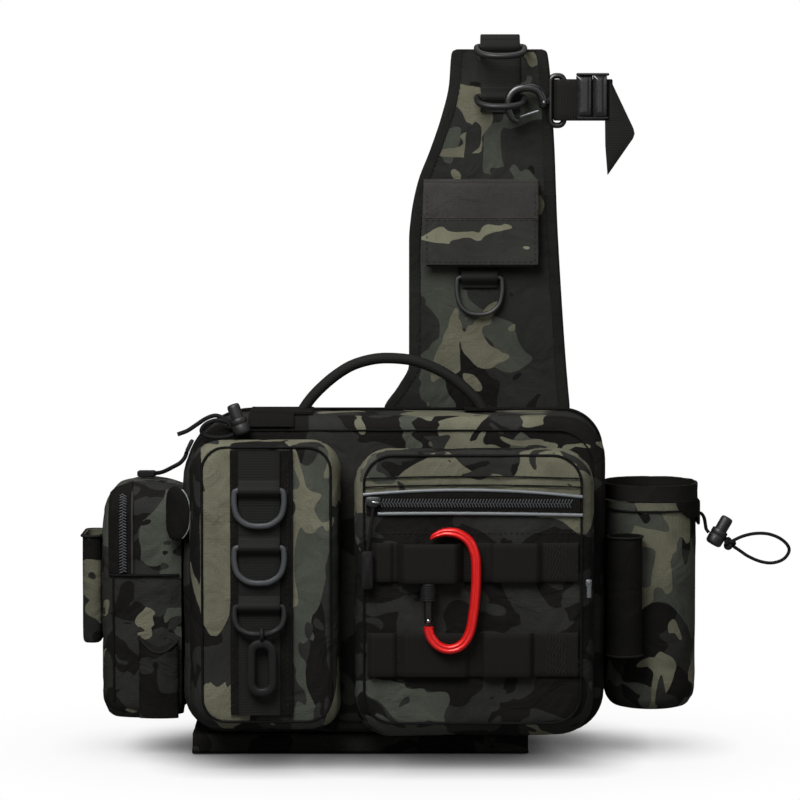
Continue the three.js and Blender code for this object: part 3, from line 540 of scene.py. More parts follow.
def ribbon(line, across, width, thick, loop=False, crown=0.0, parts=6):
    """A flat strip with rounded edges along a line, its middle raised by crown."""
    count = len(line)
    half = width / 2
    rim = thick / 2
    places = evenly(-half + rim, half - rim, parts)
    outline = [(-half, -0.4 * rim), (-half, 0.4 * rim)]
    outline += [(u, rim + crown * (1 - (u / half) ** 2)) for u in places]
    outline += [(half, 0.4 * rim), (half, -0.4 * rim)]
    outline += [(u, -rim + crown * (1 - (u / half) ** 2)) for u in reversed(places)]
    rings = []
    for i in range(count):
        before = line[i - 1] if i or loop else line[i]
        after = line[(i + 1) % count] if i < count - 1 or loop else line[i]
        normal = across.cross((after - before).normalized()).normalized()
        rings.append([line[i] + across * u + normal * v for u, v in outline])
    return skin(rings, loop=loop)


def thin(front, back):
    """A thin cloth's outline: a row of front points and the same row of back points."""
    return [*front, *reversed(back)]


def stitches(line, length=2.6, gap=1.5, thread=0.36):
    """Sewn thread along a line, a bead for each stitch."""
    made = Form()
    stops = even(line, length + gap)
    share = length / (length + gap)
    for a, b in zip(stops, stops[1:]):
        end = a.lerp(b, share)
        middle = (a + end) / 2
        along = (end - a).normalized()
        side = along.cross(Y if abs(along.y) < 0.8 else X).normalized() * thread
        up = along.cross(side).normalized() * thread
        points = [a, end, middle + side, middle + up, middle - side, middle - up]
        faces = [(0, 2, 3), (0, 3, 4), (0, 4, 5), (0, 5, 2), (1, 3, 2), (1, 4, 3), (1, 5, 4), (1, 2, 5)]
        made.add((points, faces))
    return made.points, made.faces


def block(centre, size, chamfer=0.25):
    """A box with chamfered edges along its height."""
    wide, deep, high = (s / 2 for s in size)
    cut = chamfer * min(wide, high)
    right = [(wide - cut, -high), (wide, -high + cut), (wide, high - cut), (wide - cut, high)]
    plan = [*right, *((-u, v) for u, v in reversed(right))]
    levels = ((-deep, 0.82), (-deep + cut * 0.6, 1.0), (deep - cut * 0.6, 1.0), (deep, 0.82))
    rings = [[Vector(centre) + xyz(u * k, y, v * k) for u, v in plan] for y, k in levels]
    return skin(rings)


def lathe(profile, place, axis, sides=28):
    """A turned form: radius and height pairs about an axis through a place."""
    turn = Z.rotation_difference(Vector(axis).normalized())
    rings = []
    for radius, height in profile:
        spots = [xyz(radius * math.cos(a), radius * math.sin(a), height) for a in turns(sides)]
        rings.append([Vector(place) + turn @ spot for spot in spots])
    return skin(rings)


# Rounded sections
Row = namedtuple("Row", "along left right low high radius shoulder", defaults=(0,))


def placed(axis, along, u, v):
    """A point from its place along an axis and its two other coordinates."""
    spot = [u, v]
    spot.insert("xyz".index(axis), along)
    return Vector(spot)


def inset(row, by, along=None):
    place = row.along if along is None else along
    radius = max(row.radius - by / 2, 0.6)
    shoulder = max(row.shoulder - by / 2, 0.6) if row.shoulder else 0
    return Row(place, row.left + by, row.right - by, row.low + by, row.high - by, radius, shoulder)


def eased(places, values, at, i):
    """Value at a place between knots i and i + 1, smooth and without overshoot."""
    def slope(k):
        if k <= 0 or k >= len(places) - 1:
            j = min(max(k, 0), len(places) - 2)
            return (values[j + 1] - values[j]) / (places[j + 1] - places[j])
        before = (values[k] - values[k - 1]) / (places[k] - places[k - 1])
        after = (values[k + 1] - values[k]) / (places[k + 1] - places[k])
        return 2 * before * after / (before + after) if before * after > 0 else 0.0

    span = places[i + 1] - places[i]
    t = (at - places[i]) / span
    from_low = values[i] * (1 + 2 * t) * (1 - t) ** 2 + slope(i) * span * t * (1 - t) ** 2
    return from_low + values[i + 1] * t * t * (3 - 2 * t) + slope(i + 1) * span * t * t * (t - 1)


def smooth_rows(rows, steps):
    places = [row.along for row in rows]
    columns = list(zip(*rows))
    made = []
    for i in range(len(rows) - 1):
        for k in range(steps):
            at = places[i] + (places[i + 1] - places[i]) * k / steps
            made.append(Row(at, *(eased(places, column, at, i) for column in columns[1:])))
    return [*made, rows[-1]]


def outline(row, corner, across, up):
    """Points round a rounded rectangle, in fixed counts so that rows match; shoulder is its upper left."""
    most = min((row.right - row.left) / 2.02, (row.high - row.low) / 2.02)
    plain = min(row.radius, most)
    upper = min(row.shoulder or row.radius, most)
    corners = (
        (row.right - plain, row.low + plain, plain, -90, up),
        (row.right - plain, row.high - plain, plain, 0, across),
        (row.left + upper, row.high - upper, upper, 90, up),
        (row.left + plain, row.low + plain, plain, 180, across),
    )
    arcs = []
    for u, v, radius, start, _ in corners:
        bends = map(math.radians, evenly(start, start + 90, corner))
        arcs.append([Vector((u + radius * math.cos(a), v + radius * math.sin(a))) for a in bends])
    points = []
    for i, (*_, count) in enumerate(corners):
        after = arcs[(i + 1) % 4][0]
        points += arcs[i]
        points += [arcs[i][-1].lerp(after, k / (count + 1)) for k in range(1, count + 1)]
    return points


def ring_points(axis, row, corner=8, across=8, up=8):
    return [placed(axis, row.along, p.x, p.y) for p in outline(row, corner, across, up)]


def loft(axis, rows, corner, across, up):
    """A closed skin through rounded sections."""
    return skin([ring_points(axis, row, corner, across, up) for row in rows])


def counts(row, spacing):
    across = max(2, int((row.right - row.left) / spacing))
    up = max(2, int((row.high - row.low) / spacing))
    return across, up


def cap_rows(row, spacing):
    """Rows that fill a flat end, from its middle out."""
    reach = min(row.right - row.left, row.high - row.low) / 2
    steps = max(2, int(reach / spacing))
    made = []
    for by in (reach * 0.96 * k / steps for k in range(steps, 0, -1)):
        shoulder = max(row.shoulder - by, 1.0) if row.shoulder else 0
        radius = max(row.radius - by, 1.0)
        made.append(inset(row, by)._replace(radius=radius, shoulder=shoulder))
    return made


def closed_shell(axis, rows, spacing=7.0, corner=7):
    across, up = counts(rows[0], spacing)
    return loft(axis, [*cap_rows(rows[0], spacing), *rows], corner, across, up)


def open_cup(axis, rows, wall, spacing=7.0, corner=7):
    """A cup with a wall: rows run from its bottom to its open rim."""
    across, up = counts(rows[0], spacing)
    outer = [*cap_rows(rows[0], spacing), *rows]
    lift = math.copysign(wall, rows[-1].along - rows[0].along)
    inner = [inset(row, wall, row.along + lift * (1 - i / (len(rows) - 1))) for i, row in enumerate(rows)]
    inner = [*cap_rows(inner[0], spacing), *inner]
    return loft(axis, [*outer, *reversed(inner)], corner, across, up)


def sleeve(axis, row, start, end, wall, steps=12, corner=7, spacing=8.0):
    """An open tube with a wall."""
    across, up = counts(row, spacing)
    outer = [row._replace(along=stop) for stop in evenly(start, end, steps)]
    inner = [inset(row, wall, stop) for stop in (end, start)]
    return skin([ring_points(axis, r, corner, across, up) for r in [*outer, *inner]], loop=True)


def piped(row, axis, radius, corner=10, sides=8):
    across, up = counts(row, 8.0)
    return tube(ring_points(axis, row, corner, across, up), radius, sides, loop=True)


def dent(piece, depth, size, seed, creases=0.0, keep=None):
    """Pushes cloth in by soft hollows, and by narrow creases."""
    mesh = piece.data
    moves = []
    for vertex in mesh.vertices:
        spot = vertex.co / (size * MM) + xyz(seed * 3.7, seed * 1.9, seed * 5.3)
        soft = 0.5 + 0.5 * noise.noise(spot)
        fold = max(0.0, 1 - 5 * abs(noise.noise(spot * 1.3 + xyz(9, 4, 7)))) ** 2
        share = keep(vertex.co / MM) if keep else 1.0
        moves.append(vertex.normal * (-share * (depth * soft + creases * fold) * MM))
    for vertex, move in zip(mesh.vertices, moves):
        vertex.co += move
    mesh.update()
    return piece


def cord_piece(name, points, radius, material, steps=6):
    line = sampled([Vector(p) for p in points], steps)
    data = bpy.data.curves.new(name, "CURVE")
    data.dimensions = "3D"
    data.bevel_depth = radius * MM
    data.bevel_resolution = 4
    data.use_fill_caps = True
    spline = data.splines.new("POLY")
    spline.points.add(len(line) - 1)
    for point, spot in zip(spline.points, line):
        point.co = (*(spot * MM), 1.0)
    data.materials.append(material)
    made = bpy.data.objects.new(name, data)
    bpy.context.scene.collection.objects.link(made)
    length = sum((b - a).length for a, b in zip(line, line[1:]))
    return made, length * MM, tuple(line[0] * MM)


# Webbing rises over ring bars and things threaded behind it
def rise(place, bumps):
    highest = 0.0
    for at, flat, half, height in bumps:
        share = max(0.0, abs(place - at) - flat) / (half - flat)
        if share < 1:
            highest = max(highest, height * math.cos(math.pi / 2 * share) ** 2)
    return highest


def bar_tunnel(at, wire=RING_WIRE):
    return (at, 0.0, 7.5, wire + BAR_SPACE + 0.8)


def upright_line(x, plane, low, high, bumps, thick, step=1.2):
    count = int((high - low) / step)
    return [xyz(x, plane - thick / 2 - rise(z, bumps), z) for z in evenly(low, high, count)]


# D-ring about the middle of its bar, and its place on the bag
RING_QUARTER = ((0.6, 0.0), (0.93, 0.02), (1.0, 0.14), (1.0, 0.42), (0.86, 0.74), (0.48, 0.95))


def ring_line(width, height, wire, place, tilt):
    half = (width - wire) / 2
    drop = height - wire
    right = [xyz(side * half, 0, -down * drop) for side, down in RING_QUARTER]
    left = [xyz(-p.x, 0, p.z) for p in reversed(right)]
    path = [Vector(), *right, xyz(0, 0, -drop), *left]
    turn = Matrix.Rotation(-math.radians(tilt), 3, "X")
    return [Vector(place) + turn @ p for p in sampled(path, 6, loop=True)]


def hang_ring(node, size, place, tilt, material):
    width, height, wire = size
    line = ring_line(width, height, wire, place, tilt)
    return dress(node, "moulding", tube(line, wire / 2, 16, True, side=Y, square=3.2), material)


# Main body, padded back and base sleeve
BODY = Row(0, -156.5, 156.5, 16, 253, 32, 49.5)
BODY_RIM = Row(58, -156.5, 156.5, 16, 247, 24, 49.5)
QUILT_PITCH = 40
QUILT_HALF = 5


def quilt(p):
    """Share of the back panel's quilting at a place."""
    off_line = abs((p.z - 12) % QUILT_PITCH - QUILT_PITCH / 2)
    return max(0.0, 1 - off_line / QUILT_HALF) if p.y > 60 else 0.0


def off_floor(p):
    return 1.0 if p.z > 3 else 0.0


def make_body():
    front = [inset(BODY, by, y) for by, y in ((10, -55), (7, -54.2), (3, -51.5), (0, -44))]
    rows = [*front, BODY, BODY_RIM]
    shell = closed_shell("y", smooth_rows(rows, 6), spacing=7.0, corner=10)
    dent(dress("main_body", "cloth", shell, CAMO_BODY), depth=1.6, size=60, seed=1, creases=0.8)

    seams = Form()
    seams.add(piped(inset(BODY, 10.5, -54.8), "y", 0.6))
    seams.add(piped(inset(BODY_RIM, 0.3, 57), "y", 1.2))
    trim("main_body_seams", "main_body", seams, PIPING)

    panel = inset(BODY_RIM, 1.5)
    rows = [inset(panel, by, y) for by, y in ((8, 66), (3, 65.4), (0, 62.6), (0, 58.4))]
    shell = closed_shell("y", smooth_rows(rows, 3), spacing=6.0, corner=8)
    back = dress("back_panel", "pad", shell, MESH_CLOTH)
    dent(back, depth=0.6, size=50, seed=2)
    dent(back, depth=3.0, size=400, seed=3, creases=0.0, keep=quilt)

    tunnel = Row(0, -45, 50, 0, 15.7, 5)
    shell = sleeve("x", tunnel, start=-150, end=100, wall=2.0, steps=40)
    # The base sleeve wears the darker camo as painted shade.
    base = dress("base_sleeve", "cloth", shell, CAMO_PAINTED_SHADE)
    dent(base, depth=0.9, size=30, seed=4, creases=0.8, keep=off_floor)


# Zips: their teeth, then the main zip with its slider and pull
TOOTH_SLANT = math.radians(24)


def zip_teeth(line, across, pitch=2.2, reach=3.4):
    """Two rows of teeth that mesh along a line, standing towards -Y."""
    made = Form()
    size = xyz(0.75, 1.0, 0.75) + Vector((abs(c) for c in across)) * (reach - 0.75)
    for k, spot in enumerate(even(line, pitch / 2)):
        sign = 1 if k % 2 else -1
        centre = spot + across * (sign * reach * 0.42)
        points, faces = block(centre, size)
        slant = Matrix.Rotation(sign * TOOTH_SLANT, 3, "Y")
        made.add(([centre + slant @ (p - centre) for p in points], faces))
    return made.points, made.faces


ZIP_TOP = 250.6
ZIP_LOW = 200.5
ZIP_CORNER = 28.7
ZIP_DEPTH = 28
SHOULDER_X = BODY.left + BODY.shoulder
SLIDER_TURN = math.radians(25)
COIL_TOOTH = ((0.1, -0.2), (0.8, 0), (0.8, 0.5), (0.2, 0.8))


def make_main_zip():
    lift = GAP + WEBBING / 2
    arcs = []
    corners = ((SHOULDER_X, BODY.shoulder, 180), (BODY.right - ZIP_CORNER, ZIP_CORNER, 90))
    for x, radius, start in corners:
        for angle in map(math.radians, evenly(start, start - 90, 12)):
            out = xyz(math.cos(angle), 0, math.sin(angle))
            arcs.append(xyz(x, ZIP_DEPTH, ZIP_TOP - radius) + out * (radius + lift))
    line = [xyz(BODY.left - lift, ZIP_DEPTH, ZIP_LOW), *arcs, xyz(BODY.right + lift, ZIP_DEPTH, ZIP_LOW)]
    line = even(line, 2.0)
    form = Form().add(ribbon(line, Y, 8, 1.5))
    inside = xyz(0, ZIP_DEPTH, ZIP_LOW - 60)
    under = [p + (inside - p).normalized() * 1.6 for p in line]
    form.add(ribbon(under, Y, 7, 2.6))
    for before, spot, after in zip(line, line[1:], line[2:]):
        out = (after - before).cross(Y).normalized() * -1
        for side in (-0.75, 0.75):
            form.add(lathe(COIL_TOOTH, spot + out * 0.7 + Y * side, out, 6), 1)
    dress("main_zipper", "tape", form, BLACK_CLOTH, BLACK_PLASTIC)


def make_main_slider():
    out = xyz(-math.cos(SLIDER_TURN), 0, math.sin(SLIDER_TURN))
    down = out.cross(Y)
    turning = xyz(SHOULDER_X, ZIP_DEPTH, ZIP_TOP - BODY.shoulder)
    seat = turning + out * (BODY.shoulder + 2 * GAP + WEBBING)
    rings = []
    for rise_by, half, reach in ((0, 3.2, 4.6), (0.4, 3.5, 5), (2.4, 3.5, 5), (3.1, 2.4, 3.6)):
        shape = outline(Row(0, -half, half, -reach, reach + 0.8, 2), 4, 2, 2)
        rings.append([seat + Y * p.x + down * p.y + out * rise_by for p in shape])
    dress("main_slider", "body", skin(rings), BLACK_PLASTIC)


def make_main_pull():
    route = [
        (-157.5, ZIP_DEPTH, 218.6), (-158.9, 27.6, 214.6), (-162.4, 25, 210.6), (-167.5, 21, 208),
        (-173, 14, 205.6), (-176.5, 7.5, 205), (-178.8, 4.5, 205),
    ]
    cord, length, leaves = cord_piece("main_pull_cord_line", route, THICK_CORD / 2, CORD_BLACK)
    stand_for(cord, "main_pull_cord")
    edge = Row(202.6, -192, -180, -1, 7, 2)
    wide = Row(203.4, -193, -178.9, -2, 8, 2.5)
    rows = [edge, wide, wide._replace(along=206.2), edge._replace(along=207)]
    grip = dress("main_pull_grip", "rubber", loft("z", rows, 5, 3, 3), RUBBER)


# Front left pocket
LEFT_ROWS = [
    Row(FACE, -137, -47, 36, 233, 16),
    Row(-101, -141, -43.5, 32.5, 235.6, 18),
    Row(-94, -146, -40, 28, 237, 20),
    Row(-78, -149.5, -38, 25, 238, 22),
    Row(-55.4, -145, -42, 28, 236, 22),
]
PANEL_X = -95.75
PANEL_WIDTH = 44.5
PIPED_FACE = -102.4
PIPING_RADIUS = 0.95
RING_X = -97.0
RING_WIDTH = 40
LOWER_TILT = 14.5
LOWER_HEIGHT = 24.5
FRONT_RINGS = (
    ("pocket_ring_upper", 30, 4, GREY_PLASTIC),
    ("pocket_ring_middle", 30, 4, GREY_PLASTIC),
    ("pocket_ring_lower", LOWER_HEIGHT, LOWER_TILT, DARK_PLASTIC),
)
RING_BARS = (203.6, 162.3, 119.5)


def make_front_left():
    shell = closed_shell("y", smooth_rows(LEFT_ROWS, 4), spacing=5.0, corner=9)
    dent(dress("front_left_pocket", "cloth", shell, CAMO_LEFT), depth=1.2, size=38, seed=5, creases=0.7)
    piping = piped(Row(PIPED_FACE, -138.5, -45.5, 34.6, 234.2, 17), "y", PIPING_RADIUS)
    trim("front_left_piping", "front_left_pocket", piping, PIPING)

    line = [xyz(PANEL_X, SEWN_FACE - PANEL / 2, z) for z in range(40, 233, 4)]
    panel = Form().add(ribbon(line, X, PANEL_WIDTH, PANEL))
    panel.add(tube([xyz(-73.8, RAISED_FACE, z) for z in range(38, 234, 3)], 1.0, 8), 1)
    for x in (-76.6, -116.4):
        panel.add(stitches([xyz(x, STITCHED_FACE, 42), xyz(x, STITCHED_FACE, 226)]), 2)
    dress("front_left_panel", "cloth", panel, BLACK_CLOTH, PIPING, THREAD)

    tunnels = [bar_tunnel(bar) for bar in RING_BARS]
    line = upright_line(RING_X, PLANE_LEFT, 40, 231.5, tunnels, WEBBING)
    strip = Form().add(ribbon(line, X, WEB_WIDTH, WEBBING))
    for z in (*(bar + 9.5 for bar in RING_BARS), *(bar - 10.5 for bar in RING_BARS[:2])):
        seam = [xyz(RING_X + side, PLANE_LEFT - WEBBING - THREAD_LIFT, z) for side in (-13.5, 13.5)]
        strip.add(stitches(seam, length=2, gap=0.8), 1)
    dress("ring_webbing", "strip", strip, WEB_UPRIGHT, THREAD)


def make_front_rings():
    bar_plane = PLANE_LEFT - RING_WIRE / 2 - BAR_SPACE
    for bar, (node, height, tilt, plastic) in zip(RING_BARS, FRONT_RINGS):
        hang_ring(node, (RING_WIDTH, height, RING_WIRE), (RING_X, bar_plane, bar), tilt, plastic)

    tilt = math.radians(LOWER_TILT)
    drop = LOWER_HEIGHT - RING_WIRE
    hang = xyz(-95, bar_plane - drop * math.sin(tilt), RING_BARS[2] - drop * math.cos(tilt))
    clip = ring_points("y", Row(hang.y, -102.8, -87.4, 57.8, hang.z - 6.7, 7.0), 10, 2, 8)
    form = Form().add(tube(clip, 2.3, 16, loop=True, flat=1.4, side=Y, square=3.0))
    eye = [hang + xyz(0, 4 * math.cos(a), 4 * math.sin(a)) for a in turns(24)]
    form.add(tube(eye, 1.6, 10, loop=True))
    form.add(block(hang + xyz(0, 0, -6.3), (7.5, 4.2, 4.0)))
    dress("clip_loop", "moulding", form, DARK_PLASTIC)


# Front right pocket
RIGHT_ROWS = [
    Row(FACE, -20, 134, 35, 227, 20),
    Row(-101, -24, 138, 31, 230.5, 22),
    Row(-94, -28, 143.5, 25, 232, 25),
    Row(-78, -29.5, 146.5, 20, 232, 27),
    Row(-55.4, -26, 143, 27, 229, 27),
]
ARCH_LEFT = -22
ARCH_WIDTH = 158

# Heights of the arched lines at the pocket's left, middle and right
UPPER_PIPING = (200.3, 203.6, 198.6)
LOWER_PIPING = (186.3, 186.6, 185.4)
TAPE_TOP = (199.8, 202.6, 198.2)
TAPE_FOOT = 186.2
TAPE_THICK = 1.8
SLIDER_X = -14.75
SLIDER_Z = 195.5

# Webbing rows: place, half of the flat top, half width and height of each rise; places of the bar tacks
UPPER_BUMPS = ((-7, 4, 7, 1.5), (26, 17, 25, 9.8), (88, 14, 20, 4))
LOWER_BUMPS = ((-8, 7, 11, 2.5), (30, 20, 26, 3), (82, 15, 20, 4))
UPPER_TACKS = (-16, 0.2, 53, 66, 109, 131)
LOWER_TACKS = (3.6, 58.5, 104, 131)
ROW_LEFT = -19
ROW_RIGHT = 133
ROW_THICK = 1.5


def arched(x, left, middle, right):
    """Height of a line that arches over the pocket's width."""
    share = (x - ARCH_LEFT) / ARCH_WIDTH
    return left + (right - left) * share + (middle - (left + right) / 2) * 4 * share * (1 - share)


def make_front_right():
    shell = closed_shell("y", smooth_rows(RIGHT_ROWS, 4), spacing=5.0, corner=9)
    dent(dress("front_right_pocket", "cloth", shell, CAMO_RIGHT), depth=1.2, size=42, seed=6, creases=0.7)
    piping = piped(Row(PIPED_FACE, -21.5, 135.5, 33.5, 228.4, 21), "y", PIPING_RADIUS)
    trim("front_right_piping", "front_right_pocket", piping, PIPING)

    pull = Form().add(block((141, -98.8, 135.4), (4.2, 2.6, 5.0)))
    pull.add(ribbon([xyz(141.2, -100.2, z) for z in (134, 131, 128, 125)], X, 3.2, 1.0))
    trim("gusset_pull", "front_right_pocket", pull, DULL_STEEL, slot="steel")


def make_front_zip():
    across = evenly(ARCH_LEFT, ARCH_LEFT + ARCH_WIDTH, 60)
    edge = Form()
    upper = [xyz(x, RAISED_FACE, arched(x, *UPPER_PIPING)) for x in across]
    lower = [xyz(x, RAISED_FACE, arched(x, *LOWER_PIPING)) for x in across[4:]]
    edge.add(tube(upper, 1.2, 10))
    edge.add(tube(lower, 1.3, 10))
    for z in (211.8, 205.6):
        line = [xyz(x, SEWN_FACE, arched(x, z, z + 1.6, z)) for x in across]
        edge.add(tube(line, 0.55, 6), 1)
    edge.add(stitches([xyz(x, SEWN_FACE, 172.5) for x in across]), 2)
    trim("front_zip_piping", "front_right_pocket", edge, GREY_PIPING_AND_HIGHLIGHT, PIPING, THREAD)

    rings = []
    for x in evenly(-20, 134, 50):
        high = arched(x, *TAPE_TOP)
        middle = (TAPE_FOOT + high) / 2
        lower = ((SEWN_FACE, TAPE_FOOT), (-104.1, TAPE_FOOT), (-104.5, middle))
        rings.append([xyz(x, y, z) for y, z in (*lower, (-104.1, high), (SEWN_FACE, high))])
    tape = Form().add(skin(rings))
    tape.add(zip_teeth([xyz(-9, -104.9, 194.4), xyz(128, -104.9, 194.0)], Z), 1)
    dress("front_zipper", "tape", tape, BLACK_CLOTH, TEETH)


def make_front_slider():
    plane = SEWN_FACE - TAPE_THICK - GAP
    slider = Form()
    right = [(1.75, -4), (5.25, -1.5), (5.25, 2.9), (2.75, 3.5)]
    shape = [*((-u, v) for u, v in reversed(right)), *right]
    levels = ((plane, 0.9), (plane - 0.4, 1.0), (plane - 2.2, 1.0), (plane - 2.6, 0.85))
    slider.add(skin([[xyz(SLIDER_X + u * k, y, SLIDER_Z + v * k) for u, v in shape] for y, k in levels]))
    top = plane - 3.1
    foot = plane - 2.2
    bridge = sampled([(-15.4, foot, 195.3), (-15, top, 195.3), (-11.6, top, 195), (-11.2, foot, 195)], 6)
    slider.add(tube(bridge, 0.9, 8), 1)
    dress("front_slider", "body", slider, BLACK_PLASTIC, BRIGHT_STEEL)

    route = [
        (-14.8, plane - 2, 191.1), (-15.6, plane - 2.6, 183), (-17.2, plane - 3, 172),
        (-18.9, plane - 3, 160.4),
    ]
    cord, length, leaves = cord_piece("front_pull_cord_line", route, CORD / 2, CORD_BLACK, 10)
    stand_for(cord, "front_pull_cord")
    rows = [
        Row(plane - 0.5, -22.6, -15.4, 132.6, 159.4, 3), Row(plane - 1.3, -23.2, -14.8, 132, 160, 3.2),
        Row(plane - 4.6, -23.2, -14.8, 132, 160, 3.2), Row(plane - 5.4, -22.4, -15.6, 132.8, 159.2, 3),
    ]
    grip = dress("front_pull_grip", "rubber", loft("y", rows, 6, 2, 8), RUBBER)


def make_front_rows():
    level_row("molle_row_upper", 137, 165.4, UPPER_BUMPS, UPPER_TACKS)
    level_row("molle_row_lower", 68, 100, LOWER_BUMPS, LOWER_TACKS)


def level_row(node, low, high, bumps, tacks):
    """A row of webbing sewn down in loops, with its bar tacks."""
    middle = (low + high) / 2
    plane = SEWN_FACE - ROW_THICK / 2
    line = [xyz(x, plane - rise(x, bumps), middle) for x in evenly(ROW_LEFT, ROW_RIGHT, 190)]
    form = Form().add(ribbon(line, Z, high - low, ROW_THICK, parts=8))
    for x in (tack + shift for tack in tacks for shift in (-0.8, 0.0, 0.8)):
        y = SEWN_FACE - ROW_THICK - rise(x, bumps) - THREAD_LIFT
        tack_line = [xyz(x, y, low + 1.5), xyz(x, y, high - 1.5)]
        form.add(stitches(tack_line, length=1.6, gap=0.5, thread=0.3), 1)
    heights = evenly(low + 2, high - 2, 30)
    for k in range(7):
        x = 110.5 + 2.2 * k
        y = SEWN_FACE - ROW_THICK - rise(x, bumps) - 0.12
        form.add(tube([xyz(x + 0.7 * math.sin(z * 1.1 + k), y, z) for z in heights], 0.32, 5), 1)
    dress(node, "strip", form, WEB_LEVEL, THREAD)


# Carabiner, drawn from its gate pin as X across and Z up
CARABINER_LINE = (
    (1.2, 59), (5, 61.8), (12.5, 64), (21.5, 62.8), (29.2, 57.4), (33.4, 48), (34.4, 38), (34, 22),
    (32.6, 7), (29.8, -8), (24.2, -17), (15.8, -20.4), (7.6, -18.2), (2.2, -12.4), (0.4, -7), (0.2, -4),
)
CARABINER_RADIUS = 3.6
CARABINER_TURN = math.radians(-2.6)
CARABINER_LEAN = math.radians(-3.4)
GATE_PIN = xyz(25, -110.8, 109.6)


def make_carabiner():
    turn = Matrix.Rotation(CARABINER_TURN, 3, "Z") @ Matrix.Rotation(CARABINER_LEAN, 3, "X")
    line = [GATE_PIN + turn @ p for p in sampled([(x, 0, z) for x, z in CARABINER_LINE], 6)]
    radii = [CARABINER_RADIUS * min(1.0, 0.2 + 0.8 * (k / 15) ** 0.7) for k in range(len(line))]
    form = Form().add(tube(line, radii, 40, side=turn @ Y, groove=0.27))
    dress("carabiner_body", "metal", form, RED_METAL)

    axis = turn @ Z
    gate = Form()
    gate.add(lathe(((2.2, -2.2), (2.9, -1.4), (2.9, 54), (2.2, 54.6)), GATE_PIN, axis, 20))
    gate.add(lathe(((1.2, 0), (1.2, 0.5), (0.7, 0.9)), GATE_PIN - turn @ Y * 2.5, turn @ -Y, 16), 1)
    dress("carabiner_gate", "metal", gate, GLOSS_PLASTIC, BRIGHT_STEEL)

    ribs = [(3.2, 13.9), (5.3, 13.9), (5.8, 14.6)]
    for k in range(9):
        ribs += [(5.8, 15.2 + 1.15 * k), (5.5, 15.6 + 1.15 * k), (5.8, 16.0 + 1.15 * k)]
    ribs += [(5.8, 26), (5.3, 26.7), (3.2, 26.7)]
    dress("carabiner_sleeve", "moulding", lathe(ribs, GATE_PIN, axis, 24), RUBBER)


# Left side pocket; in its rows left is the front and right the back
SIDE_ROWS = [
    Row(-218, -30, 26, 36, 180, 12, 22),
    Row(-214, -37, 33, 28, 190, 13, 24),
    Row(-206, -41, 38, 24.5, 198, 14, 24),
    Row(-190, -42, 39, 24, 202, 14, 24),
    Row(-172, -42, 39, 24.5, 200, 14, 24),
    Row(-156.9, -39, 36, 27, 196, 14, 24),
]
SIDE_SPLIT = 135
SIDE_ZIP_X = -200.5
POUCH_LEFT = -189
POUCH_WIDTH = 29
POUCH_FOOT = 27
POUCH_BULGE = 9.0
POUCH_BACK = -42.7
POUCH_TOP = 88
POUCH_SAG = 9.5
POUCH_SLOPE = 3


def side_row(x):
    """The side pocket's section at a place across it."""
    places = [row.along for row in SIDE_ROWS]
    i = max(k for k in range(len(places) - 1) if places[k] <= x)
    return Row(x, *(eased(places, column, x, i) for column in list(zip(*SIDE_ROWS))[1:]))


def side_front(x, z):
    """Depth of the side pocket's front at a place, round its upper edge."""
    row = side_row(x)
    over = max(0.0, z - (row.high - row.shoulder))
    return row.left + row.shoulder - math.sqrt(max(row.shoulder**2 - over**2, 1.0))


def make_left_side():
    shell = closed_shell("x", smooth_rows(SIDE_ROWS, 4), spacing=5.0, corner=9)
    dent(dress("side_pocket", "cloth", shell, CAMO_SIDE), depth=1.5, size=34, seed=7, creases=0.8)

    rings = []
    for v in evenly(0, 1, 24):
        ring = []
        for x in evenly(-211.5, -194, 12):
            z = SIDE_SPLIT + (side_row(x).high - 0.8 - SIDE_SPLIT) * v
            ring.append(xyz(x, side_front(x, z) - 0.7, z + 0.6 * v))
        rings.append(thin(ring, [p + xyz(0, 2.6, -0.8 * v) for p in ring]))
    form = Form().add(skin(rings))
    line = [xyz(SIDE_ZIP_X, side_front(SIDE_ZIP_X, z) - 1.8, z) for z in range(136, 196, 3)]
    form.add(zip_teeth(line, X, reach=3.0), 1)
    dress("side_zipper", "tape", form, BLACK_CLOTH, TEETH)

    seams = Form()
    for x, lift, heights, radius, paint in (
        (-193.6, 0.6, range(SIDE_SPLIT, 198, 3), 0.9, 1),
        (-208, 0.2, range(40, 192, 3), 0.8, 0),
    ):
        seams.add(tube([xyz(x, side_front(x, z) - lift, z) for z in heights], radius, 8), paint)
    z = 133.6
    seams.add(tube([xyz(x, side_front(x, z) - 0.4, z) for x in range(-211, -158, 2)], 1.0, 8))
    trim("side_pocket_seams", "side_pocket", seams, PIPING, BAND_CLOTH)


def make_pouch():
    rings = []
    for v in evenly(0, 1, 14):
        ring = []
        for u in evenly(0, 1, 28):
            z = POUCH_FOOT + (pouch_rim(u) - POUCH_FOOT) * v
            bulge = pouch_belly(u) * (0.35 + 0.65 * v**0.8)
            ring.append(xyz(POUCH_LEFT + POUCH_WIDTH * u, POUCH_BACK - bulge, z))
        rings.append(thin(ring, [p + xyz(0, 1.4, 0) for p in ring]))
    pouch = Form().add(skin(rings))
    lip = []
    for u in evenly(0, 1, 30):
        lip.append(xyz(POUCH_LEFT + POUCH_WIDTH * u, POUCH_BACK + 0.5 - pouch_belly(u), pouch_rim(u)))
    pouch.add(tube(lip, 1.1, 8), 1)
    # The pouch wears the darker camo as painted shade.
    dress("cargo_pouch", "cloth", pouch, CAMO_PAINTED_SHADE, BINDING)


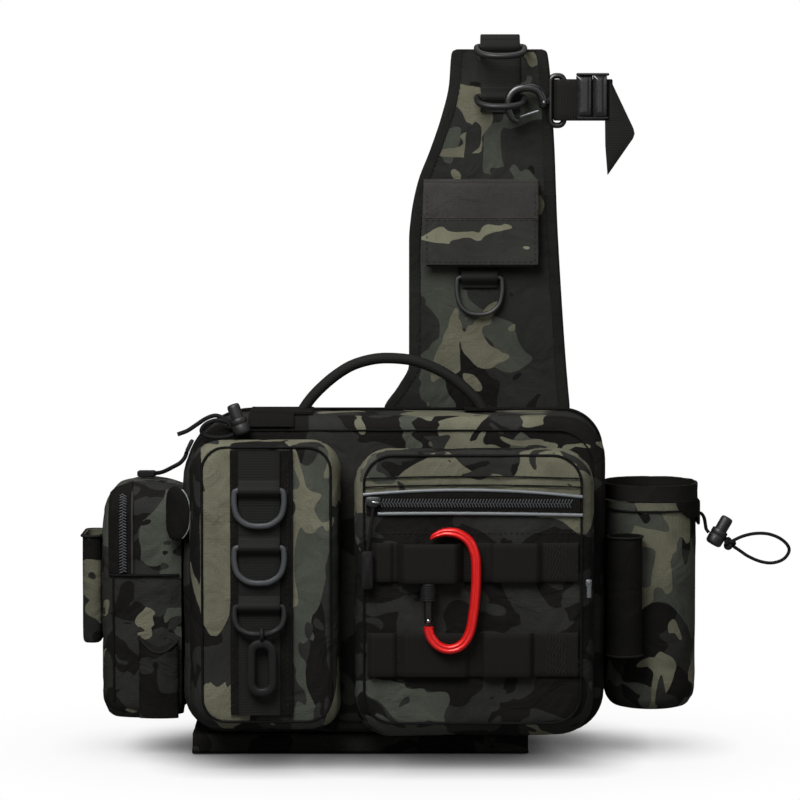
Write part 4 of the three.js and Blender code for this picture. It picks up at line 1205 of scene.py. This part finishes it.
# Padded wing behind the side pocket, with a painted highlight line along its edge
WING_X = -158.6
WING_Y = -54.1
WING_Z = 181
WING_HALF_WIDTH = 11.5
WING_HALF_HEIGHT = 20
WING_HALF_DEPTH = 3.4
WING_ACROSS = xyz(0.806, -0.591, 0)
WING_THROUGH = xyz(0.591, 0.806, 0)


def make_wing():
    rings = []
    edge = []
    for v in evenly(-1, 1, 20):
        reach = max(1 - abs(v) ** 2.6, 0.02) ** 0.45
        centre = xyz(WING_X - 2.2 * v * v, WING_Y, WING_Z + WING_HALF_HEIGHT * v)
        wide = WING_ACROSS * (WING_HALF_WIDTH * reach)
        deep = WING_THROUGH * (WING_HALF_DEPTH * reach)
        rings.append([centre + wide * math.cos(a) + deep * math.sin(a) for a in turns(24)])
        edge.append(centre + wide)
    # The light grey tube along the wing's edge is a painted highlight.
    wing = Form().add(skin(rings)).add(tube(edge[1:-1], 0.6, 8), 1)
    trim("side_wing", "side_pocket", wing, BLACK_CLOTH, GREY_PIPING_AND_HIGHLIGHT)


def pouch_belly(u):
    """How far the pouch's rim bulges across its width."""
    return POUCH_BULGE * math.sin(math.pi * u) ** 0.6


def pouch_rim(u):
    """Height of the pouch's slack rim across its width."""
    return POUCH_TOP - POUCH_SAG * math.sin(math.pi * u) - POUCH_SLOPE * u


def make_sheath():
    plan = Row(80, -233, -218.3, -24, 24, 6)
    rows = [inset(plan, by, z) for by, z in ((1.5, 80), (0.3, 82), (0, 86), (0, 120), (0, 161))]
    cup = open_cup("z", smooth_rows(rows, 4), wall=1.8, spacing=4.0, corner=5)
    dent(dress("plier_sheath", "cloth", cup, CAMO_SHEATH), depth=0.5, size=25, seed=8, creases=0.4)
    hem = piped(Row(160.4, -233.2, -218.3, -24.2, 24.2, 6), "z", 1.0)
    trim("plier_sheath_hem", "plier_sheath", hem, BINDING)


# Bottle pocket, hem, drawstring and rod sleeve
BOTTLE = Row(0, 156.8, 227, -40, 40, 33)
HEM_LOW = 187.5
HEM_HIGH = 199.6
ROD_TUBE = Row(0, 157.1, 183.5, -62.4, -36, 13.2)
ROD_LOW = 75
ROD_HIGH = 164


def make_right_side():
    bottom = ((13, 30), (8, 31.4), (4, 35), (1.4, 40), (0, 50), (0, 100), (0, 187.2))
    rows = [inset(BOTTLE, by, z) for by, z in bottom]
    cup = open_cup("z", smooth_rows(rows, 8), wall=2.0, spacing=6.0, corner=12)
    dent(dress("bottle_pocket", "cloth", cup, CAMO_BOTTLE), depth=1.3, size=40, seed=9, creases=0.7)
    trim("bottle_pocket_seams", "bottle_pocket", piped(inset(BOTTLE, -0.2, 180.5), "z", 0.8), PIPING)

    rim = BOTTLE._replace(right=227.8)
    band = sleeve("z", rim, start=HEM_LOW, end=HEM_HIGH, wall=2.6, steps=6, corner=12, spacing=5.0)
    dent(dress("bottle_hem", "band", band, WEB_LEVEL), depth=0.8, size=9, seed=10, creases=0.4)

    rows = [
        Row(227.3, -15, 5, 168, 186.5, 2), Row(228.5, -15, 5, 168, 186.5, 2),
        Row(228.9, -14.4, 4.4, 168.6, 185.9, 2),
    ]
    dress("hem_tab", "web", loft("x", rows, 4, 3, 3), WEB_UPRIGHT)

    corner = xyz(BOTTLE.right - BOTTLE.radius, BOTTLE.low + BOTTLE.radius, 0)
    rings = []
    for share in evenly(0, 1, 24):
        angle = math.radians(-64 + 60 * share)
        out = xyz(math.cos(angle), math.sin(angle), 0)
        low = 187 - 12.5 * min(1.0, share / 0.4) ** 0.6
        spot = corner + out * (BOTTLE.radius + GAP)
        ring = [spot + Z * z for z in evenly(low, HEM_LOW - GAP, 8)]
        rings.append(thin(ring, [p + out * 1.2 for p in ring]))
    trim("bottle_hem_patch", "bottle_pocket", skin(rings), BLACK_CLOTH)


def make_rod_sleeve():
    open_tube = sleeve("z", ROD_TUBE, start=ROD_LOW, end=ROD_HIGH, wall=1.6, steps=24, corner=12)
    dent(dress("rod_sleeve", "cloth", open_tube, BLACK_CLOTH), depth=0.5, size=20, seed=11, creases=0.3)
    ends = Form()
    for z in (ROD_LOW + 0.6, ROD_HIGH - 0.6):
        ends.add(piped(inset(ROD_TUBE, -0.2, z)._replace(radius=13.4), "z", 0.8))
    trim("rod_sleeve_hems", "rod_sleeve", ends, BINDING)


LOCK_BARREL = (
    (0.2, -6.5), (4.2, -6.5), (5.4, -6.0), (6.1, -5.0), (6.3, -4.0), (6.3, 1.0), (6.0, 1.4), (6.0, 2.0),
    (6.3, 2.4), (6.3, 5.2), (5.9, 6.0), (5.1, 6.0), (5.0, -1.4), (0.2, -1.5),
)
LOCK_BUTTON = ((0.2, 2.5), (4.7, 2.5), (4.7, 14.8), (4.4, 16.0), (3.8, 16.7), (2.6, 17), (0.2, 17))


def make_lock(barrel, button, place, axis):
    parts = ((barrel, LOCK_BARREL), (button, LOCK_BUTTON))
    return [dress(node, "moulding", lathe(profile, place, axis), BLACK_PLASTIC) for node, profile in parts]


def make_drawstring():
    y = -5
    knot_centre = xyz(251.8, y, 152.8)
    knot_scale = 1.15
    lock, button = make_lock("drawstring_lock", "drawstring_button", (242.3, y, 157.8), (9.7, 0, 17.2))
    route = [
        (229.3, y, 175.6), (230.7, y, 175.4), (232.7, y, 172.4), (233.7, y, 167.4), (234.4, y, 163.8),
        (236.2, y, 161.3),
    ]
    strands = Form()
    for shift in (-1.1, 1.1):
        strands.add(tube(sampled([Vector(p) + Y * shift for p in route], 6), CORD / 2, 8))
    tie = dress("drawstring_tie", "strands", strands, CORD_BLACK)

    knotted = []
    for t in turns(48):
        u = knot_scale * (2 * math.cos(2 * t) - math.cos(t))
        v = knot_scale * (math.sin(t) + 2 * math.sin(2 * t))
        knotted.append(knot_centre + xyz(u, 1.7 * math.sin(3 * t), v))
    knot = dress("drawstring_knot", "cord", tube(knotted, 1.8, 9, loop=True), CORD_BLACK)

    route = [
        (254.6, y, 155), (262, y - 1, 158.5), (271, y - 2, 160.6), (280.5, y - 3, 160.4),
        (289, y - 3, 157.3), (295, y - 3, 152.2), (296.3, y - 3, 147), (292, y - 3, 141.2),
        (284, y - 2, 138.4), (275, y - 1, 139.4), (266, y, 143.2), (259.5, y, 147.6), (254.9, y, 150.6),
    ]
    loop, length, leaves = cord_piece("drawstring_loop_cord", route, CORD / 2, CORD_BLACK)
    stand_for(loop, "drawstring_loop")


def make_top_cord():
    lock, button = make_lock("top_lock", "top_button", (-112.3, -61.6, 246.2), (-0.34, 0, 0.94))
    route = [
        (-120.1, -60.2, 249.3), (-125, -58.8, 252), (-131, -57.5, 253.6), (-138, -56.8, 251.2),
        (-145, -57, 246.6), (-151.5, -57.6, 242.4), (-158.6, -58.5, 239.8),
    ]
    cord, length, leaves = cord_piece("top_cord_line", route, THICK_CORD / 2, CORD_BLACK)
    stand_for(cord, "top_cord")
    route = [
        (-120, -63.4, 247.4), (-124, -63.2, 250), (-131, -62.8, 250.4), (-137.6, -62.2, 247.6),
        (-140.8, -61.8, 243.2), (-138.6, -61.6, 239.4), (-132, -61.8, 237.8), (-124, -62.2, 238),
        (-117.4, -62.6, 239.8),
    ]
    loop, length, leaves = cord_piece("top_loop_line", route, THICK_CORD / 2, CORD_BLACK)
    stand_for(loop, "top_loop")


# Sling strap: height, left, right and thickness
STRAP_TABLE = (
    (190, 30, 108, 6), (215, 5, 128, 9), (247, -8, 135.4, 11), (265, 3, 134, 12), (282, 11.4, 132.5, 12),
    (330, 11.4, 129, 12), (378, 11.4, 126, 12), (397, 13, 125, 12), (422, 18, 124, 12),
    (447, 27.5, 123, 12), (472, 36, 121.5, 12), (497, 42, 120, 11), (519.5, 43.7, 117.5, 10.2),
    (522.6, 44.8, 116.2, 10), (524, 47.8, 113.2, 9),
)
BINDING_WIDTH = 9.0
SLING_ROUTE = (
    (64.2, 530.9), (65.4, 533.4), (69, 534.6), (75, 534.2), (80, 529), (82.5, 515), (88, 480), (96, 430),
    (102, 360), (104, 280), (101, 200), (92, 130), (78, 80), (68.2, 58), (68.2, 36),
)
STRAP_X = 81
STRAP_BARS = {"strap_ring_top": 526, "strap_ring_hook": 488}


def make_strap():
    rows = [
        Row(z, left + 0.6, right - 0.6, STRAP_FRONT, STRAP_FRONT + thick, thick / 2.2)
        for z, left, right, thick in STRAP_TABLE
    ]
    rows = smooth_rows(rows, 5)
    pad = dress("strap_pad", "cloth", loft("z", rows, 5, 24, 2), CAMO_STRAP)
    dent(pad, depth=0.9, size=45, seed=12, creases=0.5)

    edges = Form()
    for side in (0, 1):
        rings = []
        seam = []
        for row in rows:
            rim, inward = (row.left, 1) if side == 0 else (row.right, -1)
            low, high = sorted((rim - 0.6 * inward, rim + BINDING_WIDTH * inward))
            edge = Row(row.along, low, high, row.low - 0.25, row.high + 0.5, 2.6)
            rings.append(ring_points("z", edge, 4, 3, 3))
            seam.append(xyz(rim + (BINDING_WIDTH - 1.2) * inward, STRAP_FRONT - 0.35, row.along))
        edges.add(skin(rings))
        edges.add(stitches(seam[5:]), 1)
    top = [xyz(x, STRAP_FRONT + 4.8, 522.6) for x in range(50, 112, 2)]
    edges.add(tube(top, 1.5, 10, flat=3.1, side=Z))
    trim("strap_binding", "strap_pad", edges, BINDING, THREAD)


def make_strap_webbing():
    tunnels = [bar_tunnel(bar) for bar in STRAP_BARS.values()]
    line = upright_line(STRAP_X, STRAP_PLANE, 476, 530.6, tunnels, WEBBING)
    strip = Form().add(ribbon(line, X, WEB_WIDTH, WEBBING))
    for z in (499, 478.5):
        seam = [xyz(STRAP_X + side, 64.2, z) for side in (-13, 13)]
        strip.add(stitches(seam, length=2, gap=0.8), 1)
    dress("strap_webbing", "strip", strip, WEB_UPRIGHT, THREAD)

    line = even(sampled([(STRAP_X, y - 0.1, z) for y, z in SLING_ROUTE], 8), 5.0)
    line = [p + xyz(0, 0.8, 0) if p.z < 525 else p for p in line]
    dress("sling_webbing", "strip", ribbon(line, X, WEB_WIDTH, WEBBING), WEB_UPRIGHT)


FLAP_WIDTH = 87.5
FLAP_X = 66.25
FLAP_FRONT = 54.6
FLAP_FOOT = 360
FLAP_TOP = 421
FLAP_BAND = 395


def make_strap_fittings():
    bar_plane = STRAP_PLANE - RING_WIRE / 2 - BAR_SPACE
    for node, bar in STRAP_BARS.items():
        hang_ring(node, (RING_WIDTH, 30, RING_WIRE), (STRAP_X, bar_plane, bar), 72, BLACK_PLASTIC)

    plan = Row(0, 24, 108, 55, STRAP_PLANE, 4)
    rows = [inset(plan, by, z) for by, z in ((1.5, 358), (0.2, 361), (0, 364), (0, 420))]
    cup = open_cup("z", smooth_rows(rows, 5), wall=1.6, spacing=4.0, corner=5)
    dent(dress("strap_pocket", "cloth", cup, CAMO_FLAP), depth=0.4, size=30, seed=13, creases=0.3)


def make_strap_flap():
    right = FLAP_X + FLAP_WIDTH / 2
    fall = FLAP_FRONT - 0.9
    front = ((fall, FLAP_FOOT), (fall, 390), (fall, 419), (FLAP_FRONT, FLAP_TOP))
    bend = (*front, (57.4, 421.6), (62, 422), (65.1, 424.4))
    fold = even(sampled([(FLAP_X, y, z) for y, z in bend], 6), 2.0)
    flap = Form()
    points, faces = ribbon(fold, X, FLAP_WIDTH, 1.6, parts=24)
    for p in points:
        foot = max(0.0, (FLAP_TOP - p.z) / (FLAP_TOP - FLAP_FOOT))
        p.x -= 2.4 * foot * (right - p.x) / FLAP_WIDTH
    flap.add((points, faces))
    middles = [sum(points[c].z for c in face) / len(face) for face in faces]
    flap.paints = [1 if middle > FLAP_BAND else 0 for middle in middles]
    y = FLAP_FRONT - 1.9
    for x, z, end_x, end_z in (
        (25, 362, 107.5, 362), (25, 362, 25, 415), (107.5, 362, 107.5, 415), (24, 394, 108.5, 394),
    ):
        flap.add(stitches([xyz(x, y, z), xyz(end_x, y, end_z)], length=2.8, gap=1.6, thread=0.4), 2)
    flap.add(tube([xyz(x, y + 0.35, FLAP_BAND + 0.4) for x in range(23, 111, 2)], 0.6, 6), 1)
    flap = dress("strap_flap", "cloth", flap, CAMO_FLAP, BAND_CLOTH, THREAD)


def make_strap_tab():
    x = 65.5
    bar = 350
    wire = 3.4
    line = upright_line(x, STRAP_PLANE, 342, 357.6, [bar_tunnel(bar, wire)], WEBBING, 0.6)
    dress("strap_tab", "web", ribbon(line, X, 28, WEBBING), WEB_UPRIGHT)
    ring_plane = STRAP_PLANE - wire / 2 - BAR_SPACE
    hang_ring("strap_pocket_ring", (38, 32, wire), (x, ring_plane, bar), 3, BLACK_PLASTIC)


HOOK_LINE = (
    (116.4, 482.4), (113.2, 486), (110.2, 491.6), (105, 494.2), (97.4, 494.4), (90.8, 491.6), (87, 485),
    (87, 477.4), (90, 472), (94.4, 469),
)
HOOK_BARREL = (
    (1.6, -3.2), (3.0, -2.8), (3.4, -2.0), (4.6, -1.2), (5.0, 0.6), (4.1, 1.0), (4.1, 1.6), (4.8, 2.0),
    (4.2, 2.8), (2.0, 3.0),
)
HOOK_GATE = ((109.8, 476.9), (102, 474.5), (95.9, 472.4))
HOOK_DEPTH = 52

# Buckle blocks: left, right, low, high and front
BUCKLE = (
    (138, 150.4, 472, 504, 41.8), (150.6, 161.2, 472, 504, 39.8),
    (138, 163, 470.5, 472.6, 40.6), (138, 163, 503.4, 505.5, 40.6),
)

# Free end of the rod strap: height and place across of its two edges
TAIL_LOW = 428.5
TAIL_LENGTH = 71.5
TAIL_INNER = ((428.5, 162), (451, 160.2), (470.2, 159.9), (470.6, 163.3), (500, 163.3))
TAIL_OUTER = ((428.5, 162.4), (456, 181.4), (459.6, 182.6), (463.4, 181.8), (498, 165.2), (500, 163.7))


def make_snap_hook():
    line = sampled([(x, HOOK_DEPTH, z) for x, z in HOOK_LINE], 6)
    radii = [3.2 - 0.8 * max(0.0, k / len(line) - 0.7) / 0.3 for k in range(len(line))]
    hook = Form().add(tube(line, radii, 16, side=Y, square=3.0))
    hook.add(lathe(HOOK_BARREL, (113.4, HOOK_DEPTH, 482.4), X, 24))
    dress("snap_hook", "metal", hook, GLOSS_PLASTIC)
    gate = [xyz(x, HOOK_DEPTH, z) for x, z in HOOK_GATE]
    dress("snap_hook_gate", "metal", tube(gate, 1.1, 12), DULL_STEEL)

    eye_row = Row(HOOK_DEPTH, 119, 129, 466, 503.5, 4)
    eye = tube(ring_points("y", eye_row, 6, 2, 8), 2.2, 12, loop=True)
    dress("snap_hook_eye", "metal", eye, GLOSS_PLASTIC)


def make_rod_strap():
    plan = Row(485.2, 122.2, 165.1, 45.9, 59.1, 4.2)
    around = ring_points("z", plan, 6, 8, 4)
    strap = Form().add(ribbon(around, Z, 31.4, 1.8, loop=True))
    dress("rod_strap", "web", strap, WEB_LEVEL)

    buckle = Form()
    for left, right, low, high, front in BUCKLE:
        row = Row(front, left, right, low, high, 1.4)
        edge = min(4.0, (high - low) / 2.4)
        levels = ((edge, front), (edge / 2, front + 0.5), (0, front + 2), (0, 44.7))
        buckle.add(closed_shell("y", [inset(row, by, y) for by, y in levels], spacing=5.0, corner=5))
    dress("rod_buckle", "moulding", buckle, GLOSS_PLASTIC)


def make_rod_tail():
    rings = []
    for z in evenly(TAIL_LOW, TAIL_LOW + TAIL_LENGTH, 60):
        near = between(TAIL_INNER, z)
        far = between(TAIL_OUTER, z)
        ring = [xyz(near + (far - near) * j / 8, 43.2 + 0.03 * j * j, z) for j in range(9)]
        rings.append(thin(ring, [p + xyz(0, 1.4, 0) for p in ring]))
    tail = dress("rod_tail", "web", skin(rings), WEB_UPRIGHT)


def between(table, at):
    """Value at a place in a table of places and values."""
    for (first, low), (second, high) in zip(table, table[1:]):
        if at <= second:
            return low + (high - low) * (at - first) / (second - first)
    return table[-1][1]


# Carry handle and its sewn patches
HANDLE_ARC = (
    (-68.8, 252.4), (-64.6, 258.6), (-60.6, 263.6), (-54.4, 270), (-44.6, 278.4), (-32.6, 286),
    (-19.4, 290.4), (-6.3, 292), (11.3, 290.8), (25, 286.8), (38, 280.6), (50, 272.2), (59.6, 263),
    (63.4, 258.4), (67, 252.4),
)
HANDLE_RADIUS = 4.1
PATCH_TOP = BODY.high + GAP + WEBBING / 2
PATCH_SEAM = PATCH_TOP + 1.0


def make_handle():
    fold = [xyz(-90.2, y, z) for y, z in ((-56, 245), (-52.4, 250.8), (-44, PATCH_TOP), (-40, PATCH_TOP))]
    flat = [xyz(-83.5, y, PATCH_TOP) for y in range(-44, 9, 2)]
    patch = Form().add(ribbon(even(fold, 2.0), X, 33.6, WEBBING)).add(ribbon(flat, X, 47, WEBBING))
    for x in (-105, -62):
        patch.add(stitches([xyz(x, y, PATCH_SEAM) for y in (-42, 7)]), 1)
    dress("handle_patch_left", "web", patch, BLACK_CLOTH, THREAD)
    flat = [xyz(64.5, y, PATCH_TOP) for y in range(-12, 13, 3)]
    patch = Form().add(ribbon(flat, X, 23, WEBBING))
    patch.add(stitches([xyz(55, 9, PATCH_SEAM), xyz(74, 9, PATCH_SEAM)]), 1)
    dress("handle_patch_right", "web", patch, BLACK_CLOTH, THREAD)

    line = sampled([(x, 0, z) for x, z in HANDLE_ARC], 6)
    handle = Form().add(tube(line, HANDLE_RADIUS, 16, side=Y))
    seam = [p - Y * (HANDLE_RADIUS - 0.2) for p in line[8:-8]]
    handle.add(stitches(seam), 1)
    dress("carry_handle", "web", handle, WEB_UPRIGHT, THREAD)


# Floor with painted shadow, light and camera
NEAR_SHADOW_REACH = 0.055
WIDE_SHADOW_REACH = 0.17
WIDE_SHADOW_DEPTH = 0.16
SHADE_DEPTH = 1.1
SHADE_LEFT = 0.25
SHADE_RIGHT = 0.6
LAMPS = (
    ("key", (-0.4, -0.85, 1.15), 0.7, 20),
    ("front", (0.2, -2.6, 0.6), 1.6, 6),
    ("top", (0.2, 0.5, 2.0), 1.4, 10),
    ("upper", (-0.2, -0.9, 1.0), 0.5, 5),
    ("right", (1.5, -0.9, 0.9), 0.8, 4),
)
LAMP_AIM = xyz(0, 0, 0.25)
WORLD_GLOW = 0.16
CAMERA_TARGET = xyz(4.5, 0, 260.5) * MM
CAMERA_TILT = math.radians(4.5)
CAMERA_DISTANCE = 2.5
CAMERA_LENS = 150
CAMERA_SENSOR = 36


def make_floor():
    bpy.ops.mesh.primitive_plane_add(size=60, location=(0, 0, -0.0005))
    floor = bpy.context.object
    floor.name = "floor"
    material, tree, shader = new_material("pale_floor", (0.2, 0.2, 0.2, 1), 0.9)
    shader.inputs["Specular IOR Level"].default_value = 0.0
    # Painted shadow: to the camera the floor glows white, dimmed by ambient occlusion near the bag, more
    # faintly towards its left and right ends, and softly by a second, wider occlusion.
    near = add_node(tree, "ShaderNodeAmbientOcclusion", {"Distance": NEAR_SHADOW_REACH}, samples=24).outputs["AO"]
    wide = add_node(tree, "ShaderNodeAmbientOcclusion", {"Distance": WIDE_SHADOW_REACH}, samples=24).outputs["AO"]
    across = add_node(tree, "ShaderNodeSeparateXYZ", {0: object_coords(tree)}).outputs["X"]
    left = ranged(tree, across, -0.145, -0.205, SHADE_DEPTH, SHADE_LEFT)
    right = ranged(tree, across, 0.14, 0.2, SHADE_DEPTH, SHADE_RIGHT)
    near_shadow = added(tree, near, added(tree, left, right, "MINIMUM"), "POWER")
    painted_shading = added(tree, near_shadow, added(tree, wide, WIDE_SHADOW_DEPTH, "POWER"), "MULTIPLY")
    shadowed_glow = add_node(tree, "ShaderNodeEmission", {"Color": (1, 1, 1, 1), "Strength": painted_shading})
    seen = add_node(tree, "ShaderNodeLightPath").outputs["Is Camera Ray"]
    surface = add_node(tree, "ShaderNodeMixShader", {0: seen, 1: shader.outputs[0], 2: shadowed_glow.outputs[0]})
    tree.links.new(surface.outputs[0], tree.nodes["Material Output"].inputs["Surface"])
    floor.data.materials.append(material)


def make_light():
    scene = bpy.context.scene
    scene.view_settings.view_transform = "Standard"
    world = bpy.data.worlds.new("studio")
    scene.world = world
    world.use_nodes = True
    tree = world.node_tree
    tree.nodes.clear()
    soft = add_node(tree, "ShaderNodeBackground", {"Color": (1, 1, 1, 1), "Strength": WORLD_GLOW})
    white = add_node(tree, "ShaderNodeBackground", {"Color": (1, 1, 1, 1), "Strength": 1.0})
    seen = add_node(tree, "ShaderNodeLightPath").outputs["Is Camera Ray"]
    blend = add_node(tree, "ShaderNodeMixShader", {0: seen, 1: soft.outputs[0], 2: white.outputs[0]})
    tree.links.new(blend.outputs[0], add_node(tree, "ShaderNodeOutputWorld").inputs[0])

    for name, place, size, power in LAMPS:
        data = bpy.data.lights.new(name, "AREA")
        data.size = size
        data.energy = power
        lamp = bpy.data.objects.new(name, data)
        lamp.location = place
        lamp.rotation_euler = (LAMP_AIM - Vector(place)).to_track_quat("-Z", "Y").to_euler()
        scene.collection.objects.link(lamp)


def make_camera():
    scene = bpy.context.scene
    data = bpy.data.cameras.new("camera")
    data.lens = CAMERA_LENS
    data.sensor_width = CAMERA_SENSOR
    camera = bpy.data.objects.new("camera", data)
    away = xyz(0, -math.cos(CAMERA_TILT), math.sin(CAMERA_TILT))
    camera.location = CAMERA_TARGET + away * CAMERA_DISTANCE
    camera.rotation_euler = (-away).to_track_quat("-Z", "Y").to_euler()
    scene.collection.objects.link(camera)
    scene.camera = camera


make_body()
make_main_zip()
make_main_slider()
make_main_pull()
make_front_left()
make_front_rings()
make_front_right()
make_front_zip()
make_front_slider()
make_front_rows()
make_carabiner()
make_left_side()
make_pouch()
make_wing()
make_sheath()
make_right_side()
make_rod_sleeve()
make_drawstring()
make_top_cord()
make_strap()
make_strap_webbing()
make_strap_fittings()
make_strap_flap()
make_strap_tab()
make_snap_hook()
make_rod_strap()
make_rod_tail()
make_handle()
make_floor()
make_light()
make_camera()
